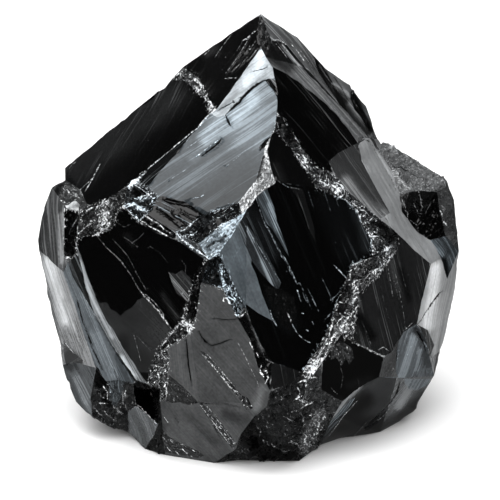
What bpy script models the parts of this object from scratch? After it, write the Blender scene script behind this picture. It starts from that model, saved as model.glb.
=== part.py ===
"""A chunk of black obsidian, broken on every side and cut flat underneath so that it stands.

The stone is surveyed like a building. Each corner is sighted from one station in front of it: how far
across and how far up it lies on a sighting plane that leans back through the middle of the base, and how
deep it lies behind that middle. Corners make panes, panes make the solid, and each pane is then given the
relief of its kind: the shallow shell shape of broken glass, or the lumps of a crushed seam.
"""

import bpy
import numpy as np
from mathutils import Vector, geometry

MM = 0.001

# The station that the corners are sighted from, and how far up the sighting plane it aims.
STATION_DISTANCE = 600.0
STATION_RISE = np.radians(15.0)
STATION_AIM = 33.8

# How the sighted corners are evened out into flat panes.
FLATTEN_ROUNDS = 30
KEEP_SIGHTED = 0.02
ROUGH_WEIGHT = 0.1
GROUND_SLACK = 0.01

# Longest edge left in a pane of sound glass, in a crushed seam and in the base.
PANE_EDGE = 5.2
SEAM_EDGE = 2.5
BASE_EDGE = 9.0
SPLIT_ROUNDS = 6
EVENING_ROUNDS = 6

# The relief: its height from hollow to crest, the size of one hollow, and how it dies out at a border.
SHELL_RELIEF = 0.9
SHELL_SIZE = 13.0
SHELL_FADE = 3.0
SEAM_RELIEF = 1.3
LUMP_SIZE = 3.2
LUMP_FADE = 0.5
CHIP_RELIEF = 0.7
CHIP_SIZE = 1.9
CHIP_OFFSET = 40.0
CHIP_REACH = 0.05
GROUND_CLEARANCE = 0.15

GLASS_COLOUR = (0.006, 0.006, 0.007, 1.0)
GLASS_ROUGHNESS = 0.12
GLASS_IOR = 1.5

# Corners of the outline, clockwise from the peak: across, up and depth in mm. A corner with no depth
# stands on the ground.
OUTLINE = {
    "peak": (2.2, 81.0, 5), "r1": (9.4, 76.4, 8), "r2": (15.2, 70.0, 12), "r3": (20.0, 66.8, 14),
    "r4": (23.2, 62.6, 13), "r5": (25.6, 56.0, 12), "r6": (26.2, 55.0, 13), "r7": (28.2, 54.8, 16),
    "r8": (33.2, 51.8, 16), "r9": (39.4, 47.6, 12), "r10": (40.8, 43.8, 10), "r11": (41.8, 33.6, 7),
    "r12": (41.0, 26.2, 5), "r13": (39.8, 19.8, 2), "r14": (38.2, 13.8, 0), "r15": (36.8, 8.6, -2),
    "r16": (34.2, 4.4, -1), "r17": (33.4, 2.0, 0), "b1": (30.0, -0.4, None), "b2": (26.0, -2.6, None),
    "b3": (18.0, -3.8, None), "b4": (14.0, -5.2, None), "b5": (9.8, -8.4, None), "b6": (4.0, -8.4, None),
    "b7": (-2.4, -8.2, None), "b8": (-7.2, -8.8, None), "b9": (-17.0, -7.2, None),
    "b10": (-21.0, -6.0, None), "b11": (-24.4, -2.6, -14), "b12": (-27.6, -1.8, -11),
    "b13": (-31.6, 0.2, -8), "b14": (-34.8, 3.4, -6), "l1": (-36.6, 7.8, -5), "l2": (-37.6, 10.8, -4),
    "l3": (-38.0, 15.2, -4), "l4": (-40.2, 23.2, -4), "l5": (-42.2, 33.8, -3), "l6": (-42.4, 35.8, -2),
    "l7": (-41.4, 41.8, -2), "l8": (-39.6, 46.4, 0), "l9": (-37.0, 47.8, 2), "l10": (-37.0, 50.2, 2),
    "l11": (-34.2, 52.8, 3), "c7": (-22.0, 62.6, 5.5), "c6": (-15.8, 67.8, 6.5), "c5": (-13.4, 70.4, 6),
    "c4": (-9.4, 73.2, 6), "c3": (-3.6, 77.4, 6),
}

# Corners inside the outline on the front.
FRONT = {
    # The crest and the crushed seam that runs down from it.
    "va1": (-13.2, 67.8, 4.5), "va2": (-10.2, 65.2, -1), "va3": (-8.8, 63.6, -4.3),
    "a1": (-8.0, 61.2, -8.1), "vb1": (-10.2, 68.2, 3), "vb3": (-8.0, 63.4, -5), "a2": (-6.6, 62.0, -8.8),
    "ka": (1.4, 77.8, 3.5), "kb": (2.2, 74.2, 1), "kd": (4.4, 75.8, 3),
    # Right edge of the big silver pane and the crushed rim below it.
    "e_b1": (3.2, 72.4, -0.7), "e_b2": (4.6, 70.4, -2.8), "e_b3": (5.0, 68.0, -5),
    "e_b4": (5.6, 65.2, -8), "e_b5": (5.4, 61.8, -11), "e_b6": (5.0, 58.2, -14.2), "e0": (4.4, 57.2, -15),
    "e1": (2.4, 52.2, -19.4), "e2": (1.2, 47.8, -23.3), "e3": (-2.2, 43.4, -27),
    "e4": (-1.6, 41.0, -28.8), "h1": (3.4, 53.8, -18), "h2": (4.2, 50.2, -21.5), "h3": (5.2, 47.4, -24.3),
    "h4": (1.6, 44.8, -26.5), "h5": (-0.6, 42.0, -28.8), "h6": (-3.8, 36.4, -33),
    "h7": (-6.2, 33.2, -35.5), "h8": (-8.2, 31.8, -36.9), "j": (-9.2, 41.0, -28.2),
    "k": (-14.8, 37.2, -31.4), "pl1": (-6.8, 38.0, -31.5), "pl2": (-10.4, 35.2, -33.6),
    "m": (-17.4, 44.6, -23.6), "m2": (-12.8, 43.4, -26), "p1": (-20.6, 41.0, -26.2),
    # The narrow step between the dark roof and the silver pane, and the knot at its foot.
    "st1": (-10.6, 58.2, -11), "st2": (-15.0, 52.8, -16.2), "st3": (-20.4, 50.0, -12.8),
    "kn1": (-24.6, 46.4, -14), "kn2": (-22.4, 47.8, -15), "kn3": (-20.6, 46.6, -21),
    "kn4": (-18.4, 44.4, -23.3), "kn6": (-25.2, 42.6, -22), "knc": (-22.6, 44.4, -20.5),
    "bd1": (-22.4, 39.6, -25), "bd2": (-19.6, 37.6, -27.6), "bd3": (-14.6, 35.8, -31.7),
    "bd4": (-9.0, 31.8, -36.5),
    # The block, the slot and the crushed ground at the upper left.
    "f1a": (-34.0, 45.8, -6.5), "f1b": (-32.4, 42.6, -12), "f1c": (-28.4, 43.8, -14),
    "bl1": (-38.2, 44.2, -3), "bl2": (-37.2, 42.2, -6), "bl3": (-37.2, 32.6, -9.5),
    "bl4": (-37.4, 29.4, -11), "sl1": (-34.0, 41.4, -10.5), "sl2": (-34.6, 37.4, -14),
    "sl3": (-34.6, 33.0, -15), "sl4": (-36.4, 31.4, -12), "sd": (-36.0, 37.6, -5),
    "cz1": (-26.4, 41.4, -21.5), "cz2": (-27.6, 38.0, -21), "cz3": (-30.8, 37.0, -18.5),
    "cz4": (-34.4, 36.2, -16),
    # Down the left side.
    "bv0": (-34.8, 35.2, -15.5), "bw1": (-32.6, 28.8, -17.3), "bw2": (-30.0, 21.8, -19.4),
    "bw3": (-25.6, 14.6, -23), "bw4": (-20.6, 7.0, -27), "bu1": (-33.2, 27.2, -15.4),
    "bu2": (-31.0, 20.8, -17), "bu3": (-27.6, 14.8, -20), "bu4": (-22.8, 7.8, -25),
    "sf1": (-35.6, 28.6, -12.4), "sf2": (-31.4, 21.4, -15), "sf3": (-27.2, 13.4, -19),
    "sf4": (-26.2, 7.8, -20), "sf5": (-28.8, 7.6, -17), "lf2": (-35.4, 23.8, -12),
    "lf3": (-32.8, 15.4, -13.5), "lf4": (-30.8, 10.2, -14.5), "lg1": (-35.0, 11.4, -9),
    "lg2": (-32.0, 3.8, -10.5), "rb1": (-23.4, 7.0, -22.5), "rb2": (-24.4, 1.4, -18),
    "rb3": (-28.0, 3.8, -16), "ho1": (-18.2, 5.8, -27.5), "ho2": (-18.4, -1.0, -27),
    "ho3": (-22.8, 2.6, -21), "hod": (-20.4, 4.2, -15), "sk1": (-19.0, -2.6, -26),
    "kq1": (-19.0, 12.8, -28), "kq3": (-16.4, 9.4, -29.6), "kq4": (-16.8, 4.2, -29.6),
    "f10a": (-18.0, 3.6, -28.6),
    # The lower middle.
    "v3a": (-11.4, 26.8, -34.6), "v3b": (-13.6, 19.8, -32.4), "v3c": (-18.6, 13.4, -28.4),
    "f9a": (-9.8, 27.2, -36.2), "f9b": (-5.6, 26.2, -37), "f9c": (-2.6, 20.4, -37.6),
    "f9d": (0.0, 15.8, -38), "f9e": (1.4, 10.8, -38.2), "f9f": (4.0, 5.6, -38.2),
    "f9g": (3.4, 2.6, -38.2), "f9h": (0.6, 0.2, -38.4), "f9i": (-1.8, 3.2, -38.4),
    "f9j": (-10.0, 3.4, -35.6), "f9k": (-12.0, 5.6, -34.6), "f9l": (-16.4, 14.4, -30.8),
    "f9m": (-12.0, 17.2, -33.8), "f9n": (-10.8, 20.2, -34.8), "f10b": (-1.8, -3.0, -36.8),
    "f10c": (-2.8, -6.0, -34.6), "f21a": (8.6, 3.4, -36.8), "f21b": (16.8, 0.8, -29.6),
    "f21m": (7.0, -2.2, -37.4), "m1": (6.2, 6.4, -36.6), "m2b": (8.4, 7.2, -35.2),
    "v2a": (-3.6, 27.8, -36.4), "v2b": (-0.8, 22.2, -36.6), "v2c": (1.2, 16.8, -37),
    "v2d": (4.4, 11.4, -36.8), "f11x": (4.2, 20.0, -35),
    # The seam from the silver pane down to the right foot.
    "v1a": (5.4, 57.4, -15.4), "v1b": (9.2, 52.8, -19), "v1c": (12.4, 48.2, -21.4),
    "v1d": (13.2, 46.2, -22.6), "v1e": (17.0, 44.6, -20.6), "v1f": (19.2, 43.8, -19),
    "v1g": (21.2, 41.8, -18.4), "v1h": (22.8, 38.6, -19), "w1a": (8.2, 57.8, -13.8),
    "w1b": (11.0, 53.4, -16.2), "w1c": (13.4, 50.4, -17.4), "w1d": (17.0, 48.8, -14.6),
    "w1e": (19.4, 45.6, -15.6), "w1f": (22.6, 43.0, -14), "w1g": (26.0, 40.0, -12.6),
    "w1h": (29.6, 37.2, -12), "x1": (24.4, 35.8, -18), "x2": (24.4, 32.4, -19.6), "x3": (20.4, 30.8, -23),
    "x4": (19.0, 27.4, -25), "x5": (17.4, 23.4, -27), "x6": (16.0, 18.8, -29), "x7": (13.2, 13.4, -31.6),
    "x8": (10.4, 9.4, -33.6), "y1": (18.2, 16.8, -27.6), "y2": (14.4, 11.4, -30.4),
    "y3": (11.6, 7.4, -33.4), "y4": (10.6, 3.8, -35.4),
    # The upper right.
    "f13a": (8.2, 68.6, -0.6), "f13b": (14.0, 64.2, 0.2), "f13c": (18.2, 60.0, -0.2),
    "f13d": (21.6, 55.2, -2.4), "f13e": (17.6, 53.2, -9.4), "f13f": (15.8, 51.4, -13.4),
    "t1": (10.0, 70.6, 2.6), "t2": (15.0, 65.8, 3), "t3": (21.6, 56.4, -1.2), "u1": (7.0, 75.2, 4.6),
    "u2": (12.2, 69.2, 5.4), "u3": (18.2, 62.6, 5), "u4": (24.0, 56.2, 4), "g1": (22.4, 51.8, -4),
    "g2": (25.2, 46.2, -6.6), "g3": (28.0, 41.2, -10), "g4": (28.4, 49.4, 6), "g5": (30.0, 44.8, 1),
    "g6": (30.4, 41.4, -2), "g7": (33.4, 37.6, -2.4), "g8": (36.2, 35.8, -1.4), "g9": (38.4, 32.2, -2.8),
    "g10": (36.2, 31.0, -9), "g11": (32.4, 34.2, -11.6), "j1": (26.0, 53.4, 7.5), "j2": (31.8, 45.4, 1.4),
    "j3": (34.2, 45.8, 4), "j4": (39.2, 46.4, 9), "k1": (37.4, 45.4, 6.8), "k2": (38.0, 41.4, 5.6),
    "k3": (39.2, 36.6, 3), "kdeep": (35.0, 41.0, 10), "k4": (39.4, 28.0, 0),
    # Down the right side.
    "q1": (34.8, 25.4, -12), "q2": (33.4, 19.0, -16), "q3": (35.2, 16.2, -12), "q4": (36.0, 12.0, -9),
    "p_1": (29.6, 34.4, -15), "p2": (25.6, 28.8, -18.6), "p3": (22.0, 25.4, -23), "p4": (20.8, 18.8, -26),
    "p5": (20.6, 15.4, -27.4), "p6": (24.2, 13.6, -26), "p7": (26.8, 12.4, -25), "p8": (28.4, 13.4, -23),
    "p9": (30.8, 17.4, -19), "z1": (25.8, 8.4, -24), "z2": (21.6, 6.0, -26), "z3": (18.4, 3.4, -28.6),
    "z4": (14.4, 5.8, -31), "n1": (29.4, 8.2, -19), "n2": (28.0, 3.4, -16),
}

# Panes of the front, each named by its corners in turn.
FRONT_PANES = {
    "roof": "l10 l11 c7 c6 va1 va2 va3 a1 st1 st3 kn1 f1c f1b f1a l9",
    "roof_seam": "c6 c5 vb1 vb3 a2 a1 va3 va2 va1",
    "upper_roof": "c5 c4 c3 peak ka kb a2 vb3 vb1",
    "peak_knob": "peak kd e_b1 kb ka",
    "silver": "kb e_b1 e_b2 e_b3 e_b4 e_b5 e_b6 e0 e1 e2 e3 j m2 m kn4 kn3 st2 st1 a1 a2",
    "roof_step": "st1 st2 kn3 kn2 st3",
    "slate": "kn4 m m2 j k p1",
    "rough_lap": "j e3 e4 pl1 pl2 k",
    "rim_plate": "e4 h5 h6 h7 h8 pl2 pl1",
    "rim": "e0 h1 h2 h3 h4 h5 e4 e3 e2 e1",
    "lap_edge": "k pl2 h8 bd4 bd3",
    "knot_a": "kn1 st3 kn2 kn3 kn4 knc",
    "knot_b": "kn1 knc kn4 p1 bd1 kn6",
    "knot_edge": "p1 k bd3 bd2 bd1",
    "crushed_ground": "f1b f1c kn1 kn6 cz1 cz2 cz3 cz4 sl2 sl1",
    "block_top": "l8 l9 f1a f1b sl1 bl2 bl1",
    "block_front": "l8 bl1 bl2 bl3 sl4 bl4 l5 l6 l7",
    "slot_left": "bl2 sl1 sd bl3",
    "slot_right": "sl1 sl2 cz4 bv0 sl3 sl4 bl3 sd",
    "left_pane": "l5 bl4 lf2 lf3 lf4 lg1 l2 l3 l4",
    "left_slope": "bl4 sl4 sf1 sf2 sf3 sf4 sf5 lf4 lf3 lf2",
    "left_gap": "sl4 sl3 bv0 bu1 bu2 bu3 bu4 rb1 sf4 sf3 sf2 sf1",
    "left_bevel": "bv0 bw1 bw2 bw3 bw4 bu4 bu3 bu2 bu1",
    "lower_left": "l2 lg1 lf4 lg2 b13 b14 l1",
    "rubble": "lf4 sf5 sf4 rb1 ho3 rb2 b11 b12 b13 lg2",
    "foot_hollow": "rb1 bu4 bw4 ho1 f10a ho2 ho3",
    "foot_slate": "rb2 ho3 ho2 sk1 b10 b11",
    "foot_chips": "ho2 f10a b9 b10 sk1",
    "black_left": "cz4 cz3 cz2 cz1 kn6 bd1 bd2 bd3 bd4 v3a v3b v3c kq1 bw4 bw3 bw2 bw1 bv0",
    "middle_seam": "h8 f9a f9n f9m f9l v3c v3b v3a bd4",
    "seam_knot": "v3c f9l kq3 kq4 f10a ho1 bw4 kq1",
    "centre_left": "f9l f9m f9j f9k kq3",
    "centre": "f9a f9b f9c f9d f9e f9f f9g f9h f9i f9j f9m f9n",
    "foot_left": "kq3 f9k f9j f9i f9h f10b f10c b8 b9 f10a kq4",
    "foot_front": "f9h f9g f21a y4 f21b b4 b5 b6 b7 b8 f10c f10b",
    "right_seam": "h8 h7 v2a v2b f9c f9b f9a",
    "dark_cleft": "v2b v2c v2d f9f f9e f9d f9c",
    "small_grey": "v2d x8 m2b m1 f9f",
    "under_ledge": "f9f m1 m2b x8 y3 y4 f21a f9g",
    "small_dark": "e0 v1a v1b v1c v1d h3 h2 h1",
    "slate_right": "h6 h5 v2b v2a h7",
    "big_right": "h3 v1d v1e v1f v1g v1h x1 x2 x3 x4 x5 x6 x7 x8 v2d v2c v2b h5 h4",
    "upper_seam": "e_b5 w1a w1b w1c w1d w1e v1f v1e v1d v1c v1b v1a e0 e_b6",
    "shoulder_seam": "w1e w1f w1g w1h p_1 p2 x2 x1 v1h v1g v1f",
    "lower_seam": "x2 p2 p3 p4 p5 y1 y2 y3 x8 x7 x6 x5 x4 x3",
    "black_right": "e_b2 f13a f13b f13c f13d f13e f13f w1d w1c w1b w1a e_b5 e_b4 e_b3",
    "light_band": "e_b1 t1 t2 u3 u4 t3 f13d f13c f13b f13a e_b2",
    "dark_band": "kd u1 u2 u3 t2 t1 e_b1",
    "outer_band": "peak r1 r2 r3 r4 r5 u4 u3 u2 u1 kd",
    "grey_inner": "f13e f13d g1 g2 g3 w1g w1f w1e w1d f13f",
    "grey_outer": "t3 u4 r5 r6 j1 g4 g5 g6 g7 g8 g9 g10 g11 w1h w1g g3 g2 g1 f13d",
    "shoulder": "r6 r7 r8 r9 j4 k1 j3 j2 g5 g4 j1",
    "shoulder_hollow_a": "g5 j2 j3 k1 kdeep g6",
    "shoulder_hollow_b": "k1 k2 k3 g8 g7 g6 kdeep",
    "shoulder_strip": "r9 r10 r11 k3 k2 k1 j4",
    "blue_patch": "g8 k3 r11 k4 g9",
    "bright_right": "g9 k4 r11 r12 r13 r14 q4 q3 q2 q1 g10",
    "streaked_right": "w1h g11 g10 q1 q2 p9 p8 p7 p6 p5 p4 p3 p2 p_1",
    "black_low": "p5 p6 p7 z1 z2 z3 z4 y2 y1",
    "under_seam": "y2 z4 z3 f21b y4 y3",
    "grey_low_a": "q2 q3 q4 r15 n1 z1 p7 p8 p9",
    "grey_low_b": "z1 n1 n2 b2 b3 b4 f21b z3 z2",
    "grey_low_c": "n1 r15 r16 r17 b1 b2 n2",
    "grey_low_d": "q4 r14 r15",
}

# Corners of the back: across, depth and height in mm.
BACK = {
    "t_1": (-2, 13, 72), "t_2": (-18, 19, 57), "t_2b": (-15, 20.5, 57.5), "t_3": (-31, 14, 44),
    "t_4": (2, 27, 59), "t_5": (14, 25, 60), "t_6": (23, 27, 49), "t_6b": (26, 26.4, 48),
    "t_7": (32, 25, 42), "s_1": (-38, 16, 30), "s_2": (-25, 32, 33), "s_2b": (-21.5, 33.4, 34),
    "s_3": (-5, 39, 37), "s_4": (17, 38, 33), "s_4b": (20.5, 36.6, 32), "s_5": (33, 29, 26),
    "s_6": (39, 16, 29),
    # The scar in the high pane, and the ledge across the belly.
    "h_1": (-12, 24.6, 50.5), "h_2": (-5, 27.2, 51.5), "h_3": (-6, 30.6, 44.5),
    "h_4": (-12.5, 29.2, 42.5), "h_5": (-8.5, 25, 47), "e_1": (-13, 38.4, 25), "e_2": (1, 39.6, 20),
    "e_3": (12, 39, 24.5), "f_1": (-12.5, 35.8, 23), "f_2": (1, 36.4, 18), "f_3": (11.5, 36, 22.6),
    "d_1": (-35, 13, 12), "d_2": (-27, 28, 11), "d_2b": (-23, 29.6, 11.5), "d_3": (-7, 34.6, 12),
    "d_4": (13, 35.6, 9), "d_4b": (16.5, 34.6, 8.6), "d_5": (29, 27, 8), "d_6": (35, 12, 9),
    "o_1": (-24, -7, 0), "o_2": (-28, 6, 0), "o_3": (-22, 22, 0), "o_4": (-5, 29, 0), "o_5": (13, 30, 0),
    "o_6": (25, 20, 0), "o_7": (30, 6, 0),
}

# Panes of the back. One named later lies on top of those before it.
BACK_PANES = {
    "back_roof": "c3 peak t_1 t_2b t_2 c7 c6 c5 c4",
    "back_roof_low": "l9 l10 l11 c7 t_2 t_3",
    "back_crest": "peak r1 r2 t_5 t_4 t_1",
    "back_high": "t_1 t_4 s_3 s_2b t_2b",
    "back_scar": "h_1 h_2 h_3 h_4",
    "back_right_high": "r2 r3 r4 r5 r6 r7 t_6b t_6 t_5",
    "back_middle": "t_4 t_5 t_6 s_4 s_3",
    "back_shoulder": "r7 r8 r9 t_7 t_6b",
    "back_left": "t_3 t_2 s_2 s_1",
    "back_side": "l9 t_3 s_1 l5 l6 l7 l8",
    "back_right": "t_6b t_7 s_5 s_4b",
    "back_edge": "r9 r10 r11 s_6 s_5 t_7",
    "back_left_seam": "t_2 t_2b s_2b d_2b d_2 s_2",
    "back_right_seam": "t_6 t_6b s_4b d_4b d_4 s_4",
    "low_side": "l5 s_1 d_1 l1 l2 l3 l4",
    "low_left": "s_1 s_2 d_2 d_1",
    "belly": "s_2b s_3 s_4 e_3 e_2 e_1",
    "belly_ledge": "e_1 e_2 e_3 f_3 f_2 f_1",
    "low_middle": "s_2b e_1 f_1 f_2 f_3 e_3 s_4 d_4 d_3 d_2b",
    "low_right": "s_4b s_5 d_5 d_4b",
    "low_edge": "s_5 s_6 r11 r12 r13 d_6 d_5",
    "under_left": "l1 d_1 o_2 o_1 b10 b11 b12 b13 b14",
    "under_back_left": "d_1 d_2 d_2b o_3 o_2",
    "under_back": "d_2b d_3 d_4 o_5 o_4 o_3",
    "under_back_right": "d_4 d_4b d_5 o_6 o_5",
    "under_right": "d_5 d_6 r13 r14 r15 r16 r17 b1 o_7 o_6",
    "base": "b1 b2 b3 b4 b5 b6 b7 b8 b9 b10 o_1 o_2 o_3 o_4 o_5 o_6 o_7",
}

# Panes of crushed or rough glass. The others are sound glass.
ROUGH_PANES = set(
    "roof_seam peak_knob rough_lap rim_plate rim lap_edge knot_a knot_b knot_edge crushed_ground block_top"
    " slot_left slot_right rubble foot_hollow foot_chips middle_seam seam_knot foot_front right_seam"
    " dark_cleft under_ledge upper_seam shoulder_seam lower_seam shoulder shoulder_hollow_a"
    " shoulder_hollow_b shoulder_strip under_seam back_shoulder back_left_seam back_right_seam"
    " belly_ledge under_back".split()
)


SIGHT = np.array([0.0, np.cos(STATION_RISE), -np.sin(STATION_RISE)])
LEANING_UP = np.array([0.0, np.sin(STATION_RISE), np.cos(STATION_RISE)])
STATION = STATION_AIM * LEANING_UP - STATION_DISTANCE * SIGHT


def sighted(across, up, depth):
    """The point at this depth on the sight line through (across, up), or where that line meets the ground."""
    target = np.array([across, 0.0, 0.0]) + up * LEANING_UP
    line = target - STATION
    if depth is None:
        return STATION - line * STATION[2] / line[2]
    return STATION + line * (depth - STATION[1]) / line[1]


def on_sighting_plane(points):
    """How far across and up the sighting plane each point is seen."""
    lines = points - STATION
    reach = STATION_DISTANCE / (lines @ SIGHT)
    return np.column_stack([lines[:, 0] * reach, lines @ LEANING_UP * reach + STATION_AIM])


def flattened(points, panes, movable):
    """Slides the movable corners along their sight lines until each pane is nearly flat.

    A corner takes the least-squares place between the planes of its panes, which are fitted again each
    round, and the place where it was sighted.
    """
    lines = points - STATION
    share = np.ones(len(points))
    for _ in range(FLATTEN_ROUNDS):
        placed = STATION + share[:, None] * lines
        pull = KEEP_SIGHTED * (lines**2).sum(axis=1)
        wanted = pull.copy()
        for name, loop in panes.items():
            middle = placed[loop].mean(axis=0)
            normal = np.linalg.svd(placed[loop] - middle)[2][2]
            slope = lines[loop] @ normal
            weight = ROUGH_WEIGHT if name in ROUGH_PANES else 1.0
            np.add.at(pull, loop, weight * slope**2)
            np.add.at(wanted, loop, weight * slope * (normal @ (middle - STATION)))
        share = np.where(movable, wanted / pull, share)
    return STATION + share[:, None] * lines


def turned_left(loop, seen):
    """The loop in the order that keeps its inside on the left."""
    across, up = seen[loop].T
    area = across @ np.roll(up, -1) - up @ np.roll(across, -1)
    return loop if area > 0 else loop[::-1]


def triangulated(seen, loops, used):
    """Triangles that fill the panes as seen from the station, and the number of each one's pane.

    The corners used are the outline's, in turn, and then those inside it.
    """
    place_of = {corner: place for place, corner in enumerate(used)}
    whole = np.arange(len(OUTLINE))
    faces = [[place_of[corner] for corner in turned_left(loop, seen)] for loop in [whole, *loops]]
    places = [Vector(place) for place in seen[used]]
    _, _, triangles, origins, _, owners = geometry.delaunay_2d_cdt(places, [], faces, 1, 1e-7, True)
    corner = np.array([used[origin[0]] for origin in origins])
    triangles = corner[np.array([triangle for triangle, owner in zip(triangles, owners) if owner])]
    pane = np.array([max(owner) - 1 for owner in owners if owner])
    if pane.min() < 0:
        raise ValueError("the panes leave a gap")
    one, two = seen[triangles[:, 1]] - seen[triangles[:, 0]], seen[triangles[:, 2]] - seen[triangles[:, 0]]
    turned = one[:, 0] * two[:, 1] < one[:, 1] * two[:, 0]
    triangles[turned] = triangles[turned][:, ::-1]
    return triangles, pane


def surveyed_stone():
    """Corners, triangles, the pane of each triangle and the panes' names, for front and back together."""
    names = list(OUTLINE) + list(FRONT) + list(BACK)
    number = {name: i for i, name in enumerate(names)}
    points = [sighted(*place) for place in (OUTLINE | FRONT).values()]
    points = np.array(points + list(BACK.values()), float)
    loops = {
        name: np.array([number[corner] for corner in corners.split()])
        for name, corners in (FRONT_PANES | BACK_PANES).items()
    }
    movable = points[:, 2] > GROUND_SLACK
    points = flattened(points, loops, movable)
    seen = on_sighting_plane(points)
    outline, inside = list(range(len(OUTLINE))), len(OUTLINE) + len(FRONT)
    in_front = list(range(inside))
    behind = outline + list(range(inside, len(points)))
    front_triangles, front_pane = triangulated(seen, [loops[name] for name in FRONT_PANES], in_front)
    back_triangles, back_pane = triangulated(seen, [loops[name] for name in BACK_PANES], behind)
    triangles = np.concatenate([front_triangles, back_triangles[:, ::-1]])
    pane = np.concatenate([front_pane, back_pane + len(FRONT_PANES)])
    return points, triangles, pane, list(loops)


def split_long_edges(points, triangles, pane, limit):
    """One round of splitting: each edge longer than its panes allow gets a new point at its middle."""
    sides = np.sort(np.stack([triangles, np.roll(triangles, -1, axis=1)], axis=2), axis=2)
    edges, side = np.unique(sides.reshape(-1, 2), axis=0, return_inverse=True)
    side = side.reshape(-1, 3)
    allowed = np.full(len(edges), np.inf)
    np.minimum.at(allowed, side, limit[pane][:, None])
    ends = points[edges]
    long = np.linalg.norm(ends[:, 0] - ends[:, 1], axis=1) > allowed
    middle = np.where(long, len(points) + np.cumsum(long) - 1, -1)
    points = np.concatenate([points, ends[long].mean(axis=1)])
    count = long[side].sum(axis=1)
    # Each triangle is turned until its split edges come first.
    first = np.where(count == 1, np.argmax(long[side], axis=1), (np.argmin(long[side], axis=1) + 1) % 3)
    turn = (np.arange(3) + np.where(count == 3, 0, first)[:, None]) % 3
    a, b, c = np.take_along_axis(triangles, turn, axis=1).T
    ab, bc, ca = middle[np.take_along_axis(side, turn, axis=1)].T
    pieces = {
        0: [(a, b, c)],
        1: [(a, ab, c), (ab, b, c)],
        2: [(ab, b, bc), (a, ab, bc), (a, bc, c)],
        3: [(a, ab, ca), (ab, b, bc), (bc, c, ca), (ab, bc, ca)],
    }
    parts = [
        (np.column_stack(corners)[count == splits], pane[count == splits])
        for splits, cut in pieces.items()
        for corners in cut
    ]
    return points, np.concatenate([part[0] for part in parts]), np.concatenate([part[1] for part in parts])


def evened(points, triangles, fixed):
    """Draws each free point towards the middle of its neighbours, which leaves a flat pane flat."""
    from_ends = triangles[:, [0, 1, 2, 1, 2, 0]].ravel()
    to_ends = triangles[:, [1, 2, 0, 0, 1, 2]].ravel()
    count = np.bincount(from_ends, minlength=len(points))
    for _ in range(EVENING_ROUNDS):
        total = np.zeros_like(points)
        np.add.at(total, from_ends, points[to_ends])
        points = np.where(fixed[:, None], points, (points + total / count[:, None]) / 2)
    return points


def distance_to_lines(points, starts, ends):
    """Least distance from each point to any of the straight lines between starts and ends."""
    along = ends - starts
    offset = points[:, None] - starts
    share = np.clip((offset * along).sum(axis=2) / (along**2).sum(axis=1), 0, 1)
    return np.linalg.norm(offset - share[..., None] * along, axis=2).min(axis=1)


def random_at(cells):
    """A fixed random number from 0 to 1 for each cell of a lattice, by mixing its three whole numbers."""
    mixed = cells.astype(np.int64) @ np.array([73856093, 19349663, 83492791])
    mixed = (mixed ^ (mixed >> 13)) * 1274126177 & 0x7FFFFFFF
    mixed = (mixed ^ (mixed >> 16)) * 668265263 & 0x7FFFFFFF
    return (mixed >> 7) / float(0x7FFFFFFF >> 7)


def lumps(points, size):
    """Smooth random lumps from -0.5 to 0.5, one for each `size` mm, blended between lattice cells."""
    cell = np.floor(points / size)
    blend = points / size - cell
    blend = blend**2 * (3 - 2 * blend)
    total = np.zeros(len(points))
    for step in np.ndindex(2, 2, 2):
        weight = np.where(step, blend, 1 - blend).prod(axis=1)
        total += weight * random_at(cell + step)
    return total - 0.5


def outward(points, triangles):
    """Unit normal at each point, the mean of its triangles' normals by area."""
    ends = points[triangles]
    facing = np.cross(ends[:, 1] - ends[:, 0], ends[:, 2] - ends[:, 0])
    total = np.zeros_like(points)
    for corner in range(3):
        np.add.at(total, triangles[:, corner], facing)
    return total / np.linalg.norm(total, axis=1, keepdims=True)


def pane_borders(triangles, pane):
    """The edges between two different panes."""
    sides = np.sort(np.stack([triangles, np.roll(triangles, -1, axis=1)], axis=2), axis=2).reshape(-1, 2)
    edges, side = np.unique(sides, axis=0, return_inverse=True)
    lowest, highest = np.full(len(edges), len(sides)), np.full(len(edges), -1)
    np.minimum.at(lowest, side.reshape(-1), np.repeat(pane, 3))
    np.maximum.at(highest, side.reshape(-1), np.repeat(pane, 3))
    return edges[lowest != highest]


def relieved(points, triangles, rough, borders, on_base):
    """Presses the relief of each pane into the stone, along the normals.

    Sound glass is dished in broad shells that die out at the pane's border. A crushed seam is lumpy all
    over. Arrises between panes are nibbled back a little. The base stays flat.
    """
    inside = distance_to_lines(points, *borders)
    shells = SHELL_RELIEF * lumps(points, SHELL_SIZE) * (1 - np.exp(-inside / SHELL_FADE))
    crushed = SEAM_RELIEF * (lumps(points, LUMP_SIZE) + lumps(points, LUMP_SIZE / 2) / 2)
    crushed = crushed * (1 - np.exp(-inside / LUMP_FADE))
    chips = CHIP_RELIEF * np.minimum(lumps(points + CHIP_OFFSET, CHIP_SIZE), 0) * (inside < CHIP_REACH)
    height = shells * (1 - rough) + crushed * rough + chips
    raised = points + np.where(on_base, 0, height)[:, None] * outward(points, triangles)
    raised[:, 2] = np.maximum(raised[:, 2], np.where(on_base, 0, GROUND_CLEARANCE))
    return raised


def mean_at_points(values, triangles, count):
    """The mean, at each point, of a value that its triangles have."""
    total = np.bincount(triangles.ravel(), np.repeat(values.astype(float), 3), count)
    return total / np.bincount(triangles.ravel(), minlength=count)


def volcanic_glass():
    """Near-black glass with a fire-bright surface."""
    material = bpy.data.materials.new("volcanic_glass")
    material.use_nodes = True
    shader = material.node_tree.nodes["Principled BSDF"]
    shader.inputs["Base Color"].default_value = GLASS_COLOUR
    shader.inputs["Roughness"].default_value = GLASS_ROUGHNESS
    shader.inputs["Metallic"].default_value = 0.0
    shader.inputs["IOR"].default_value = GLASS_IOR
    return material


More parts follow.
